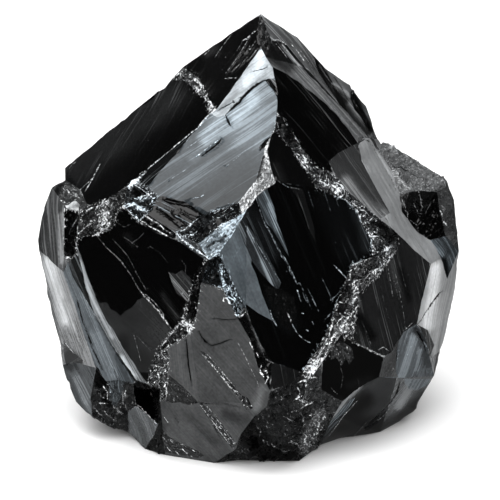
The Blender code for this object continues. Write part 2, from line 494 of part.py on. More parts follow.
def chunk():
    """The whole stone as one object."""
    points, triangles, pane, names = surveyed_stone()
    points[:, :2] -= (points[:, :2].min(axis=0) + points[:, :2].max(axis=0)) / 2
    borders = points[pane_borders(triangles, pane)]
    is_rough = np.array([name in ROUGH_PANES for name in names])
    limit = np.where(is_rough, SEAM_EDGE, PANE_EDGE)
    limit[names.index("base")] = BASE_EDGE
    for _ in range(SPLIT_ROUNDS):
        points, triangles, pane = split_long_edges(points, triangles, pane, limit)
    fixed = np.zeros(len(points), bool)
    fixed[pane_borders(triangles, pane)] = True
    points = evened(points, triangles, fixed)
    rough = mean_at_points(is_rough[pane], triangles, len(points))
    on_base = np.zeros(len(points), bool)
    on_base[triangles[pane == names.index("base")]] = True
    points = relieved(points, triangles, rough, (borders[:, 0], borders[:, 1]), on_base)
    mesh = bpy.data.meshes.new("obsidian_chunk")
    mesh.from_pydata((points * MM).tolist(), [], triangles.tolist())
    mesh.materials.append(volcanic_glass())
    stone = bpy.data.objects.new("obsidian_chunk", mesh)
    bpy.context.scene.collection.objects.link(stone)


for leftover in list(bpy.data.objects):
    bpy.data.objects.remove(leftover)
chunk()
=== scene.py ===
"""A free-standing chunk of black obsidian on a pale floor under soft studio light."""

import bpy
import numpy as np
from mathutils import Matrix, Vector, geometry


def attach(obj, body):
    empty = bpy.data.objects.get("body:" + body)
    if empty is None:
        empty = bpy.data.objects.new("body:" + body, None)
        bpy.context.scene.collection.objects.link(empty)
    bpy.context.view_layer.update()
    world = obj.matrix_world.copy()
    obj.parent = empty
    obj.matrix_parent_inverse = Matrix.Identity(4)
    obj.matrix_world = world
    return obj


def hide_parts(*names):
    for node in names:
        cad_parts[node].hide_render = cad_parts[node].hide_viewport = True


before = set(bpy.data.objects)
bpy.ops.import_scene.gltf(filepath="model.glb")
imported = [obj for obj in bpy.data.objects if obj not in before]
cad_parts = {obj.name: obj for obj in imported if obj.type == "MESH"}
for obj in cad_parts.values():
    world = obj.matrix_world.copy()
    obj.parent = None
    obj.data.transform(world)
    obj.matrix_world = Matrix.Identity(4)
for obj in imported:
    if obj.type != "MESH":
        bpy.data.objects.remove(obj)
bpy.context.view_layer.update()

# The stone as it broke. Volcanic glass has no grain, so it parts in broad, nearly flat shells, and where
# the breaks meet it is crushed into seams. It is surveyed from one station in front: each corner by how
# far across and up it lies on a sighting plane that leans back, and how deep behind the middle, in mm.

MM = 0.001
STATION_DISTANCE = 600.0
STATION_RISE = np.radians(15.0)
STATION_AIM = 33.8
SIGHT = np.array([0.0, np.cos(STATION_RISE), -np.sin(STATION_RISE)])
ACROSS = np.array([1.0, 0.0, 0.0])
LEANING_UP = np.array([0.0, np.sin(STATION_RISE), np.cos(STATION_RISE)])
STATION = STATION_AIM * LEANING_UP - STATION_DISTANCE * SIGHT

FLATTEN_ROUNDS = 30
KEEP_SIGHTED = 0.02
ROUGH_WEIGHT = 0.1
GROUND_SLACK = 0.01
FILL_INSIDE = 1
CORNERS_MERGE_WITHIN = 1e-7

# Corners of the outline, clockwise from the peak. One with no depth stands on the ground.
OUTLINE = {
    "peak": (2.2, 81.0, 5), "r1": (9.4, 76.4, 8), "r2": (15.2, 70.0, 12), "r3": (20.0, 66.8, 14),
    "r4": (23.2, 62.6, 13), "r5": (25.6, 56.0, 12), "r6": (26.2, 55.0, 13), "r7": (28.2, 54.8, 16),
    "r8": (33.2, 51.8, 16), "r9": (39.4, 47.6, 12), "r10": (40.8, 43.8, 10), "r11": (41.8, 33.6, 7),
    "r12": (41.0, 26.2, 5), "r13": (39.8, 19.8, 2), "r14": (38.2, 13.8, 0), "r15": (36.8, 8.6, -2),
    "r16": (34.2, 4.4, -1), "r17": (33.4, 2.0, 0), "b1": (30.0, -0.4, None), "b2": (26.0, -2.6, None),
    "b3": (18.0, -3.8, None), "b4": (14.0, -5.2, None), "b5": (9.8, -8.4, None), "b6": (4.0, -8.4, None),
    "b7": (-2.4, -8.2, None), "b8": (-7.2, -8.8, None), "b9": (-17.0, -7.2, None),
    "b10": (-21.0, -6.0, None), "b11": (-24.4, -2.6, -14), "b12": (-27.6, -1.8, -11),
    "b13": (-31.6, 0.2, -8), "b14": (-34.8, 3.4, -6), "l1": (-36.6, 7.8, -5), "l2": (-37.6, 10.8, -4),
    "l3": (-38.0, 15.2, -4), "l4": (-40.2, 23.2, -4), "l5": (-42.2, 33.8, -3), "l6": (-42.4, 35.8, -2),
    "l7": (-41.4, 41.8, -2), "l8": (-39.6, 46.4, 0), "l9": (-37.0, 47.8, 2), "l10": (-37.0, 50.2, 2),
    "l11": (-34.2, 52.8, 3), "c7": (-22.0, 62.6, 5.5), "c6": (-15.8, 67.8, 6.5), "c5": (-13.4, 70.4, 6),
    "c4": (-9.4, 73.2, 6), "c3": (-3.6, 77.4, 6),
}

# Corners inside the outline on the front. One that no pane names is a dent or a rise within a pane.
FRONT = {
    # The crest and the crushed seam that runs down from it.
    "va1": (-13.2, 67.8, 4.5), "va2": (-10.2, 65.2, -1), "va3": (-8.8, 63.6, -4.3),
    "a1": (-8.0, 61.2, -8.1), "vb1": (-10.2, 68.2, 3), "vb3": (-8.0, 63.4, -5), "a2": (-6.6, 62.0, -8.8),
    "ka": (1.4, 77.8, 3.5), "kb": (2.2, 74.2, 1), "kd": (4.4, 75.8, 3),
    # Right edge of the big silver pane and the crushed rim below it.
    "e_b1": (3.2, 72.4, -0.7), "e_b2": (4.6, 70.4, -2.8), "e_b3": (5.0, 68.0, -5),
    "e_b4": (5.6, 65.2, -8), "e_b5": (5.4, 61.8, -11), "e_b6": (5.0, 58.2, -14.2), "e0": (4.4, 57.2, -15),
    "e1": (2.4, 52.2, -19.4), "e2": (1.2, 47.8, -23.3), "e3": (-2.2, 43.4, -27),
    "e4": (-1.6, 41.0, -28.8), "h1": (3.4, 53.8, -18), "h2": (4.2, 50.2, -21.5), "h3": (5.2, 47.4, -24.3),
    "h4": (1.6, 44.8, -26.5), "h5": (-0.6, 42.0, -28.8), "h6": (-3.8, 36.4, -33),
    "h7": (-6.2, 33.2, -35.5), "h8": (-8.2, 31.8, -36.9), "j": (-9.2, 41.0, -28.2),
    "k": (-14.8, 37.2, -31.4), "pl1": (-6.8, 38.0, -31.5), "pl2": (-10.4, 35.2, -33.6),
    "m": (-17.4, 44.6, -23.6), "m2": (-12.8, 43.4, -26), "p1": (-20.6, 41.0, -26.2),
    # The narrow step between the dark roof and the silver pane, and the knot at its foot.
    "st1": (-10.6, 58.2, -11), "st2": (-15.0, 52.8, -16.2), "st3": (-20.4, 50.0, -12.8),
    "kn1": (-24.6, 46.4, -14), "kn2": (-22.4, 47.8, -15), "kn3": (-20.6, 46.6, -21),
    "kn4": (-18.4, 44.4, -23.3), "kn6": (-25.2, 42.6, -22), "knc": (-22.6, 44.4, -20.5),
    "bd1": (-22.4, 39.6, -25), "bd2": (-19.6, 37.6, -27.6), "bd3": (-14.6, 35.8, -31.7),
    "bd4": (-9.0, 31.8, -36.5),
    # The block, the slot and the crushed ground at the upper left.
    "f1a": (-34.0, 45.8, -6.5), "f1b": (-32.4, 42.6, -12), "f1c": (-28.4, 43.8, -14),
    "bl1": (-38.2, 44.2, -3), "bl2": (-37.2, 42.2, -6), "bl3": (-37.2, 32.6, -9.5),
    "bl4": (-37.4, 29.4, -11), "sl1": (-34.0, 41.4, -10.5), "sl2": (-34.6, 37.4, -14),
    "sl3": (-34.6, 33.0, -15), "sl4": (-36.4, 31.4, -12), "sd": (-36.0, 37.6, -5),
    "cz1": (-26.4, 41.4, -21.5), "cz2": (-27.6, 38.0, -21), "cz3": (-30.8, 37.0, -18.5),
    "cz4": (-34.4, 36.2, -16),
    # Down the left side.
    "bv0": (-34.8, 35.2, -15.5), "bw1": (-32.6, 28.8, -17.3), "bw2": (-30.0, 21.8, -19.4),
    "bw3": (-25.6, 14.6, -23), "bw4": (-20.6, 7.0, -27), "bu1": (-33.2, 27.2, -15.4),
    "bu2": (-31.0, 20.8, -17), "bu3": (-27.6, 14.8, -20), "bu4": (-22.8, 7.8, -25),
    "sf1": (-35.6, 28.6, -12.4), "sf2": (-31.4, 21.4, -15), "sf3": (-27.2, 13.4, -19),
    "sf4": (-26.2, 7.8, -20), "sf5": (-28.8, 7.6, -17), "lf2": (-35.4, 23.8, -12),
    "lf3": (-32.8, 15.4, -13.5), "lf4": (-30.8, 10.2, -14.5), "lg1": (-35.0, 11.4, -9),
    "lg2": (-32.0, 3.8, -10.5), "rb1": (-23.4, 7.0, -22.5), "rb2": (-24.4, 1.4, -18),
    "rb3": (-28.0, 3.8, -16), "ho1": (-18.2, 5.8, -27.5), "ho2": (-18.4, -1.0, -27),
    "ho3": (-22.8, 2.6, -21), "hod": (-20.4, 4.2, -15), "sk1": (-19.0, -2.6, -26),
    "kq1": (-19.0, 12.8, -28), "kq3": (-16.4, 9.4, -29.6), "kq4": (-16.8, 4.2, -29.6),
    "f10a": (-18.0, 3.6, -28.6),
    # The lower middle.
    "v3a": (-11.4, 26.8, -34.6), "v3b": (-13.6, 19.8, -32.4), "v3c": (-18.6, 13.4, -28.4),
    "f9a": (-9.8, 27.2, -36.2), "f9b": (-5.6, 26.2, -37), "f9c": (-2.6, 20.4, -37.6),
    "f9d": (0.0, 15.8, -38), "f9e": (1.4, 10.8, -38.2), "f9f": (4.0, 5.6, -38.2),
    "f9g": (3.4, 2.6, -38.2), "f9h": (0.6, 0.2, -38.4), "f9i": (-1.8, 3.2, -38.4),
    "f9j": (-10.0, 3.4, -35.6), "f9k": (-12.0, 5.6, -34.6), "f9l": (-16.4, 14.4, -30.8),
    "f9m": (-12.0, 17.2, -33.8), "f9n": (-10.8, 20.2, -34.8), "f10b": (-1.8, -3.0, -36.8),
    "f10c": (-2.8, -6.0, -34.6), "f21a": (8.6, 3.4, -36.8), "f21b": (16.8, 0.8, -29.6),
    "f21m": (7.0, -2.2, -37.4), "m1": (6.2, 6.4, -36.6), "m2b": (8.4, 7.2, -35.2),
    "v2a": (-3.6, 27.8, -36.4), "v2b": (-0.8, 22.2, -36.6), "v2c": (1.2, 16.8, -37),
    "v2d": (4.4, 11.4, -36.8), "f11x": (4.2, 20.0, -35),
    # The seam from the silver pane down to the right foot.
    "v1a": (5.4, 57.4, -15.4), "v1b": (9.2, 52.8, -19), "v1c": (12.4, 48.2, -21.4),
    "v1d": (13.2, 46.2, -22.6), "v1e": (17.0, 44.6, -20.6), "v1f": (19.2, 43.8, -19),
    "v1g": (21.2, 41.8, -18.4), "v1h": (22.8, 38.6, -19), "w1a": (8.2, 57.8, -13.8),
    "w1b": (11.0, 53.4, -16.2), "w1c": (13.4, 50.4, -17.4), "w1d": (17.0, 48.8, -14.6),
    "w1e": (19.4, 45.6, -15.6), "w1f": (22.6, 43.0, -14), "w1g": (26.0, 40.0, -12.6),
    "w1h": (29.6, 37.2, -12), "x1": (24.4, 35.8, -18), "x2": (24.4, 32.4, -19.6), "x3": (20.4, 30.8, -23),
    "x4": (19.0, 27.4, -25), "x5": (17.4, 23.4, -27), "x6": (16.0, 18.8, -29), "x7": (13.2, 13.4, -31.6),
    "x8": (10.4, 9.4, -33.6), "y1": (18.2, 16.8, -27.6), "y2": (14.4, 11.4, -30.4),
    "y3": (11.6, 7.4, -33.4), "y4": (10.6, 3.8, -35.4),
    # The upper right.
    "f13a": (8.2, 68.6, -0.6), "f13b": (14.0, 64.2, 0.2), "f13c": (18.2, 60.0, -0.2),
    "f13d": (21.6, 55.2, -2.4), "f13e": (17.6, 53.2, -9.4), "f13f": (15.8, 51.4, -13.4),
    "t1": (10.0, 70.6, 2.6), "t2": (15.0, 65.8, 3), "t3": (21.6, 56.4, -1.2), "u1": (7.0, 75.2, 4.6),
    "u2": (12.2, 69.2, 5.4), "u3": (18.2, 62.6, 5), "u4": (24.0, 56.2, 4), "g1": (22.4, 51.8, -4),
    "g2": (25.2, 46.2, -6.6), "g3": (28.0, 41.2, -10), "g4": (28.4, 49.4, 6), "g5": (30.0, 44.8, 1),
    "g6": (30.4, 41.4, -2), "g7": (33.4, 37.6, -2.4), "g8": (36.2, 35.8, -1.4), "g9": (38.4, 32.2, -2.8),
    "g10": (36.2, 31.0, -9), "g11": (32.4, 34.2, -11.6), "j1": (26.0, 53.4, 7.5), "j2": (31.8, 45.4, 1.4),
    "j3": (34.2, 45.8, 4), "j4": (39.2, 46.4, 9), "k1": (37.4, 45.4, 6.8), "k2": (38.0, 41.4, 5.6),
    "k3": (39.2, 36.6, 3), "kdeep": (35.0, 41.0, 10), "k4": (39.4, 28.0, 0),
    # Down the right side.
    "q1": (34.8, 25.4, -12), "q2": (33.4, 19.0, -16), "q3": (35.2, 16.2, -12), "q4": (36.0, 12.0, -9),
    "p_1": (29.6, 34.4, -15), "p2": (25.6, 28.8, -18.6), "p3": (22.0, 25.4, -23), "p4": (20.8, 18.8, -26),
    "p5": (20.6, 15.4, -27.4), "p6": (24.2, 13.6, -26), "p7": (26.8, 12.4, -25), "p8": (28.4, 13.4, -23),
    "p9": (30.8, 17.4, -19), "z1": (25.8, 8.4, -24), "z2": (21.6, 6.0, -26), "z3": (18.4, 3.4, -28.6),
    "z4": (14.4, 5.8, -31), "n1": (29.4, 8.2, -19), "n2": (28.0, 3.4, -16),
}

# Panes of the front, each named by its corners in turn.
FRONT_PANES = {
    "roof": "l10 l11 c7 c6 va1 va2 va3 a1 st1 st3 kn1 f1c f1b f1a l9",
    "roof_seam": "c6 c5 vb1 vb3 a2 a1 va3 va2 va1",
    "upper_roof": "c5 c4 c3 peak ka kb a2 vb3 vb1",
    "peak_knob": "peak kd e_b1 kb ka",
    "silver": "kb e_b1 e_b2 e_b3 e_b4 e_b5 e_b6 e0 e1 e2 e3 j m2 m kn4 kn3 st2 st1 a1 a2",
    "roof_step": "st1 st2 kn3 kn2 st3",
    "slate": "kn4 m m2 j k p1",
    "rough_lap": "j e3 e4 pl1 pl2 k",
    "rim_plate": "e4 h5 h6 h7 h8 pl2 pl1",
    "rim": "e0 h1 h2 h3 h4 h5 e4 e3 e2 e1",
    "lap_edge": "k pl2 h8 bd4 bd3",
    "knot_a": "kn1 st3 kn2 kn3 kn4 knc",
    "knot_b": "kn1 knc kn4 p1 bd1 kn6",
    "knot_edge": "p1 k bd3 bd2 bd1",
    "crushed_ground": "f1b f1c kn1 kn6 cz1 cz2 cz3 cz4 sl2 sl1",
    "block_top": "l8 l9 f1a f1b sl1 bl2 bl1",
    "block_front": "l8 bl1 bl2 bl3 sl4 bl4 l5 l6 l7",
    "slot_left": "bl2 sl1 sd bl3",
    "slot_right": "sl1 sl2 cz4 bv0 sl3 sl4 bl3 sd",
    "left_pane": "l5 bl4 lf2 lf3 lf4 lg1 l2 l3 l4",
    "left_slope": "bl4 sl4 sf1 sf2 sf3 sf4 sf5 lf4 lf3 lf2",
    "left_gap": "sl4 sl3 bv0 bu1 bu2 bu3 bu4 rb1 sf4 sf3 sf2 sf1",
    "left_bevel": "bv0 bw1 bw2 bw3 bw4 bu4 bu3 bu2 bu1",
    "lower_left": "l2 lg1 lf4 lg2 b13 b14 l1",
    "rubble": "lf4 sf5 sf4 rb1 ho3 rb2 b11 b12 b13 lg2",
    "foot_hollow": "rb1 bu4 bw4 ho1 f10a ho2 ho3",
    "foot_slate": "rb2 ho3 ho2 sk1 b10 b11",
    "foot_chips": "ho2 f10a b9 b10 sk1",
    "black_left": "cz4 cz3 cz2 cz1 kn6 bd1 bd2 bd3 bd4 v3a v3b v3c kq1 bw4 bw3 bw2 bw1 bv0",
    "middle_seam": "h8 f9a f9n f9m f9l v3c v3b v3a bd4",
    "seam_knot": "v3c f9l kq3 kq4 f10a ho1 bw4 kq1",
    "centre_left": "f9l f9m f9j f9k kq3",
    "centre": "f9a f9b f9c f9d f9e f9f f9g f9h f9i f9j f9m f9n",
    "foot_left": "kq3 f9k f9j f9i f9h f10b f10c b8 b9 f10a kq4",
    "foot_front": "f9h f9g f21a y4 f21b b4 b5 b6 b7 b8 f10c f10b",
    "right_seam": "h8 h7 v2a v2b f9c f9b f9a",
    "dark_cleft": "v2b v2c v2d f9f f9e f9d f9c",
    "small_grey": "v2d x8 m2b m1 f9f",
    "under_ledge": "f9f m1 m2b x8 y3 y4 f21a f9g",
    "small_dark": "e0 v1a v1b v1c v1d h3 h2 h1",
    "slate_right": "h6 h5 v2b v2a h7",
    "big_right": "h3 v1d v1e v1f v1g v1h x1 x2 x3 x4 x5 x6 x7 x8 v2d v2c v2b h5 h4",
    "upper_seam": "e_b5 w1a w1b w1c w1d w1e v1f v1e v1d v1c v1b v1a e0 e_b6",
    "shoulder_seam": "w1e w1f w1g w1h p_1 p2 x2 x1 v1h v1g v1f",
    "lower_seam": "x2 p2 p3 p4 p5 y1 y2 y3 x8 x7 x6 x5 x4 x3",
    "black_right": "e_b2 f13a f13b f13c f13d f13e f13f w1d w1c w1b w1a e_b5 e_b4 e_b3",
    "light_band": "e_b1 t1 t2 u3 u4 t3 f13d f13c f13b f13a e_b2",
    "dark_band": "kd u1 u2 u3 t2 t1 e_b1",
    "outer_band": "peak r1 r2 r3 r4 r5 u4 u3 u2 u1 kd",
    "grey_inner": "f13e f13d g1 g2 g3 w1g w1f w1e w1d f13f",
    "grey_outer": "t3 u4 r5 r6 j1 g4 g5 g6 g7 g8 g9 g10 g11 w1h w1g g3 g2 g1 f13d",
    "shoulder": "r6 r7 r8 r9 j4 k1 j3 j2 g5 g4 j1",
    "shoulder_hollow_a": "g5 j2 j3 k1 kdeep g6",
    "shoulder_hollow_b": "k1 k2 k3 g8 g7 g6 kdeep",
    "shoulder_strip": "r9 r10 r11 k3 k2 k1 j4",
    "blue_patch": "g8 k3 r11 k4 g9",
    "bright_right": "g9 k4 r11 r12 r13 r14 q4 q3 q2 q1 g10",
    "streaked_right": "w1h g11 g10 q1 q2 p9 p8 p7 p6 p5 p4 p3 p2 p_1",
    "black_low": "p5 p6 p7 z1 z2 z3 z4 y2 y1",
    "under_seam": "y2 z4 z3 f21b y4 y3",
    "grey_low_a": "q2 q3 q4 r15 n1 z1 p7 p8 p9",
    "grey_low_b": "z1 n1 n2 b2 b3 b4 f21b z3 z2",
    "grey_low_c": "n1 r15 r16 r17 b1 b2 n2",
    "grey_low_d": "q4 r14 r15",
}

# Corners of the back: across, depth and height in mm.
BACK = {
    "t_1": (-2, 13, 72), "t_2": (-18, 19, 57), "t_2b": (-15, 20.5, 57.5), "t_3": (-31, 14, 44),
    "t_4": (2, 27, 59), "t_5": (14, 25, 60), "t_6": (23, 27, 49), "t_6b": (26, 26.4, 48),
    "t_7": (32, 25, 42), "s_1": (-38, 16, 30), "s_2": (-25, 32, 33), "s_2b": (-21.5, 33.4, 34),
    "s_3": (-5, 39, 37), "s_4": (17, 38, 33), "s_4b": (20.5, 36.6, 32), "s_5": (33, 29, 26),
    "s_6": (39, 16, 29),
    # The scar in the high pane, and the ledge across the belly.
    "h_1": (-12, 24.6, 50.5), "h_2": (-5, 27.2, 51.5), "h_3": (-6, 30.6, 44.5),
    "h_4": (-12.5, 29.2, 42.5), "h_5": (-8.5, 25, 47), "e_1": (-13, 38.4, 25), "e_2": (1, 39.6, 20),
    "e_3": (12, 39, 24.5), "f_1": (-12.5, 35.8, 23), "f_2": (1, 36.4, 18), "f_3": (11.5, 36, 22.6),
    "d_1": (-35, 13, 12), "d_2": (-27, 28, 11), "d_2b": (-23, 29.6, 11.5), "d_3": (-7, 34.6, 12),
    "d_4": (13, 35.6, 9), "d_4b": (16.5, 34.6, 8.6), "d_5": (29, 27, 8), "d_6": (35, 12, 9),
    "o_1": (-24, -7, 0), "o_2": (-28, 6, 0), "o_3": (-22, 22, 0), "o_4": (-5, 29, 0), "o_5": (13, 30, 0),
    "o_6": (25, 20, 0), "o_7": (30, 6, 0),
}

# Panes of the back. One named later lies on top of those before it.
BACK_PANES = {
    "back_roof": "c3 peak t_1 t_2b t_2 c7 c6 c5 c4",
    "back_roof_low": "l9 l10 l11 c7 t_2 t_3",
    "back_crest": "peak r1 r2 t_5 t_4 t_1",
    "back_high": "t_1 t_4 s_3 s_2b t_2b",
    "back_scar": "h_1 h_2 h_3 h_4",
    "back_right_high": "r2 r3 r4 r5 r6 r7 t_6b t_6 t_5",
    "back_middle": "t_4 t_5 t_6 s_4 s_3",
    "back_shoulder": "r7 r8 r9 t_7 t_6b",
    "back_left": "t_3 t_2 s_2 s_1",
    "back_side": "l9 t_3 s_1 l5 l6 l7 l8",
    "back_right": "t_6b t_7 s_5 s_4b",
    "back_edge": "r9 r10 r11 s_6 s_5 t_7",
    "back_left_seam": "t_2 t_2b s_2b d_2b d_2 s_2",
    "back_right_seam": "t_6 t_6b s_4b d_4b d_4 s_4",
    "low_side": "l5 s_1 d_1 l1 l2 l3 l4",
    "low_left": "s_1 s_2 d_2 d_1",
    "belly": "s_2b s_3 s_4 e_3 e_2 e_1",
    "belly_ledge": "e_1 e_2 e_3 f_3 f_2 f_1",
    "low_middle": "s_2b e_1 f_1 f_2 f_3 e_3 s_4 d_4 d_3 d_2b",
    "low_right": "s_4b s_5 d_5 d_4b",
    "low_edge": "s_5 s_6 r11 r12 r13 d_6 d_5",
    "under_left": "l1 d_1 o_2 o_1 b10 b11 b12 b13 b14",
    "under_back_left": "d_1 d_2 d_2b o_3 o_2",
    "under_back": "d_2b d_3 d_4 o_5 o_4 o_3",
    "under_back_right": "d_4 d_4b d_5 o_6 o_5",
    "under_right": "d_5 d_6 r13 r14 r15 r16 r17 b1 o_7 o_6",
    "base": "b1 b2 b3 b4 b5 b6 b7 b8 b9 b10 o_1 o_2 o_3 o_4 o_5 o_6 o_7",
}

# Panes of crushed or rough glass. The others are sound glass.
ROUGH_PANES = set(
    "roof_seam peak_knob rough_lap rim_plate rim lap_edge knot_a knot_b knot_edge crushed_ground block_top"
    " slot_left slot_right rubble foot_hollow foot_chips middle_seam seam_knot foot_front right_seam"
    " dark_cleft under_ledge upper_seam shoulder_seam lower_seam shoulder shoulder_hollow_a"
    " shoulder_hollow_b shoulder_strip under_seam back_shoulder back_left_seam back_right_seam"
    " belly_ledge under_back".split()
)
# The number of each named corner among the points of the stone.
corner_number = {name: number for number, name in enumerate([*OUTLINE, *FRONT, *BACK])}


def sighted(across, up, depth):
    """The point at this depth on the sight line through (across, up), or where it meets the ground."""
    line = across * ACROSS + up * LEANING_UP - STATION
    if depth is None:
        return STATION - line * STATION[2] / line[2]
    return STATION + line * (depth - STATION[1]) / line[1]


def on_sighting_plane(points):
    """How far across and up the sighting plane each point is seen."""
    lines = points - STATION
    reach = STATION_DISTANCE / (lines @ SIGHT)
    return np.column_stack([lines[:, 0] * reach, lines @ LEANING_UP * reach + STATION_AIM])


def flattened(points, panes, movable):
    """Slides the movable corners along their sight lines until each pane is nearly flat.

    A corner takes the least-squares place between the planes of its panes, which are fitted again each
    round, and the place where it was sighted.
    """
    lines = points - STATION
    share = np.ones(len(points))
    for _ in range(FLATTEN_ROUNDS):
        placed = STATION + share[:, None] * lines
        pull = KEEP_SIGHTED * (lines**2).sum(axis=1)
        wanted = pull.copy()
        for name, loop in panes.items():
            middle = placed[loop].mean(axis=0)
            normal = np.linalg.svd(placed[loop] - middle)[2][2]
            slope = lines[loop] @ normal
            weight = ROUGH_WEIGHT if name in ROUGH_PANES else 1.0
            np.add.at(pull, loop, weight * slope**2)
            np.add.at(wanted, loop, weight * slope * (normal @ (middle - STATION)))
        share = np.where(movable, wanted / pull, share)
    return STATION + share[:, None] * lines


def turned_left(loop, seen):
    """The loop in the order that keeps its inside on the left, which is the one with an area above zero."""
    across, up = seen[loop].T
    area = across @ np.roll(up, -1) - up @ np.roll(across, -1)
    return loop if area > 0 else loop[::-1]


def triangulated(seen, loops, used):
    """Triangles that fill the panes as seen from the station, and the number of each one's pane.

    The corners used are the outline's, in turn, and then those inside it.
    """
    place_of = {corner: place for place, corner in enumerate(used)}
    whole = np.arange(len(OUTLINE))
    faces = [[place_of[corner] for corner in turned_left(loop, seen)] for loop in [whole, *loops]]
    places = [Vector(place) for place in seen[used]]
    _, _, triangles, origins, _, owners = geometry.delaunay_2d_cdt(
        places, [], faces, FILL_INSIDE, CORNERS_MERGE_WITHIN, True
    )
    corner = np.array([used[origin[0]] for origin in origins])
    triangles = corner[np.array([triangle for triangle, owner in zip(triangles, owners) if owner])]
    pane = np.array([max(owner) - 1 for owner in owners if owner])
    if pane.min() < 0:
        raise ValueError("the panes leave a gap")
    one, two = seen[triangles[:, 1]] - seen[triangles[:, 0]], seen[triangles[:, 2]] - seen[triangles[:, 0]]
    turned = one[:, 0] * two[:, 1] < one[:, 1] * two[:, 0]
    triangles[turned] = triangles[turned][:, ::-1]
    return triangles, pane


def surveyed_stone():
    """Corners, triangles, the pane of each triangle and the panes' names, for front and back together."""
    points = [sighted(*place) for place in (OUTLINE | FRONT).values()]
    points = np.array(points + list(BACK.values()), float)
    loops = {
        name: np.array([corner_number[corner] for corner in corners.split()])
        for name, corners in (FRONT_PANES | BACK_PANES).items()
    }
    movable = points[:, 2] > GROUND_SLACK
    points = flattened(points, loops, movable)
    seen = on_sighting_plane(points)
    front_end = len(OUTLINE) + len(FRONT)
    in_front = list(range(front_end))
    behind = list(range(len(OUTLINE))) + list(range(front_end, len(points)))
    front_triangles, front_pane = triangulated(seen, [loops[name] for name in FRONT_PANES], in_front)
    back_triangles, back_pane = triangulated(seen, [loops[name] for name in BACK_PANES], behind)
    triangles = np.concatenate([front_triangles, back_triangles[:, ::-1]])
    pane = np.concatenate([front_pane, back_pane + len(FRONT_PANES)])
    return points, triangles, pane, list(loops)


points, triangles, pane, pane_names = surveyed_stone()
middle = np.append((points[:, :2].min(axis=0) + points[:, :2].max(axis=0)) / 2, 0.0)
seen = on_sighting_plane(points)
pane_count = len(pane_names)
front_count = len(FRONT_PANES)
is_rough = np.array([name in ROUGH_PANES for name in pane_names])
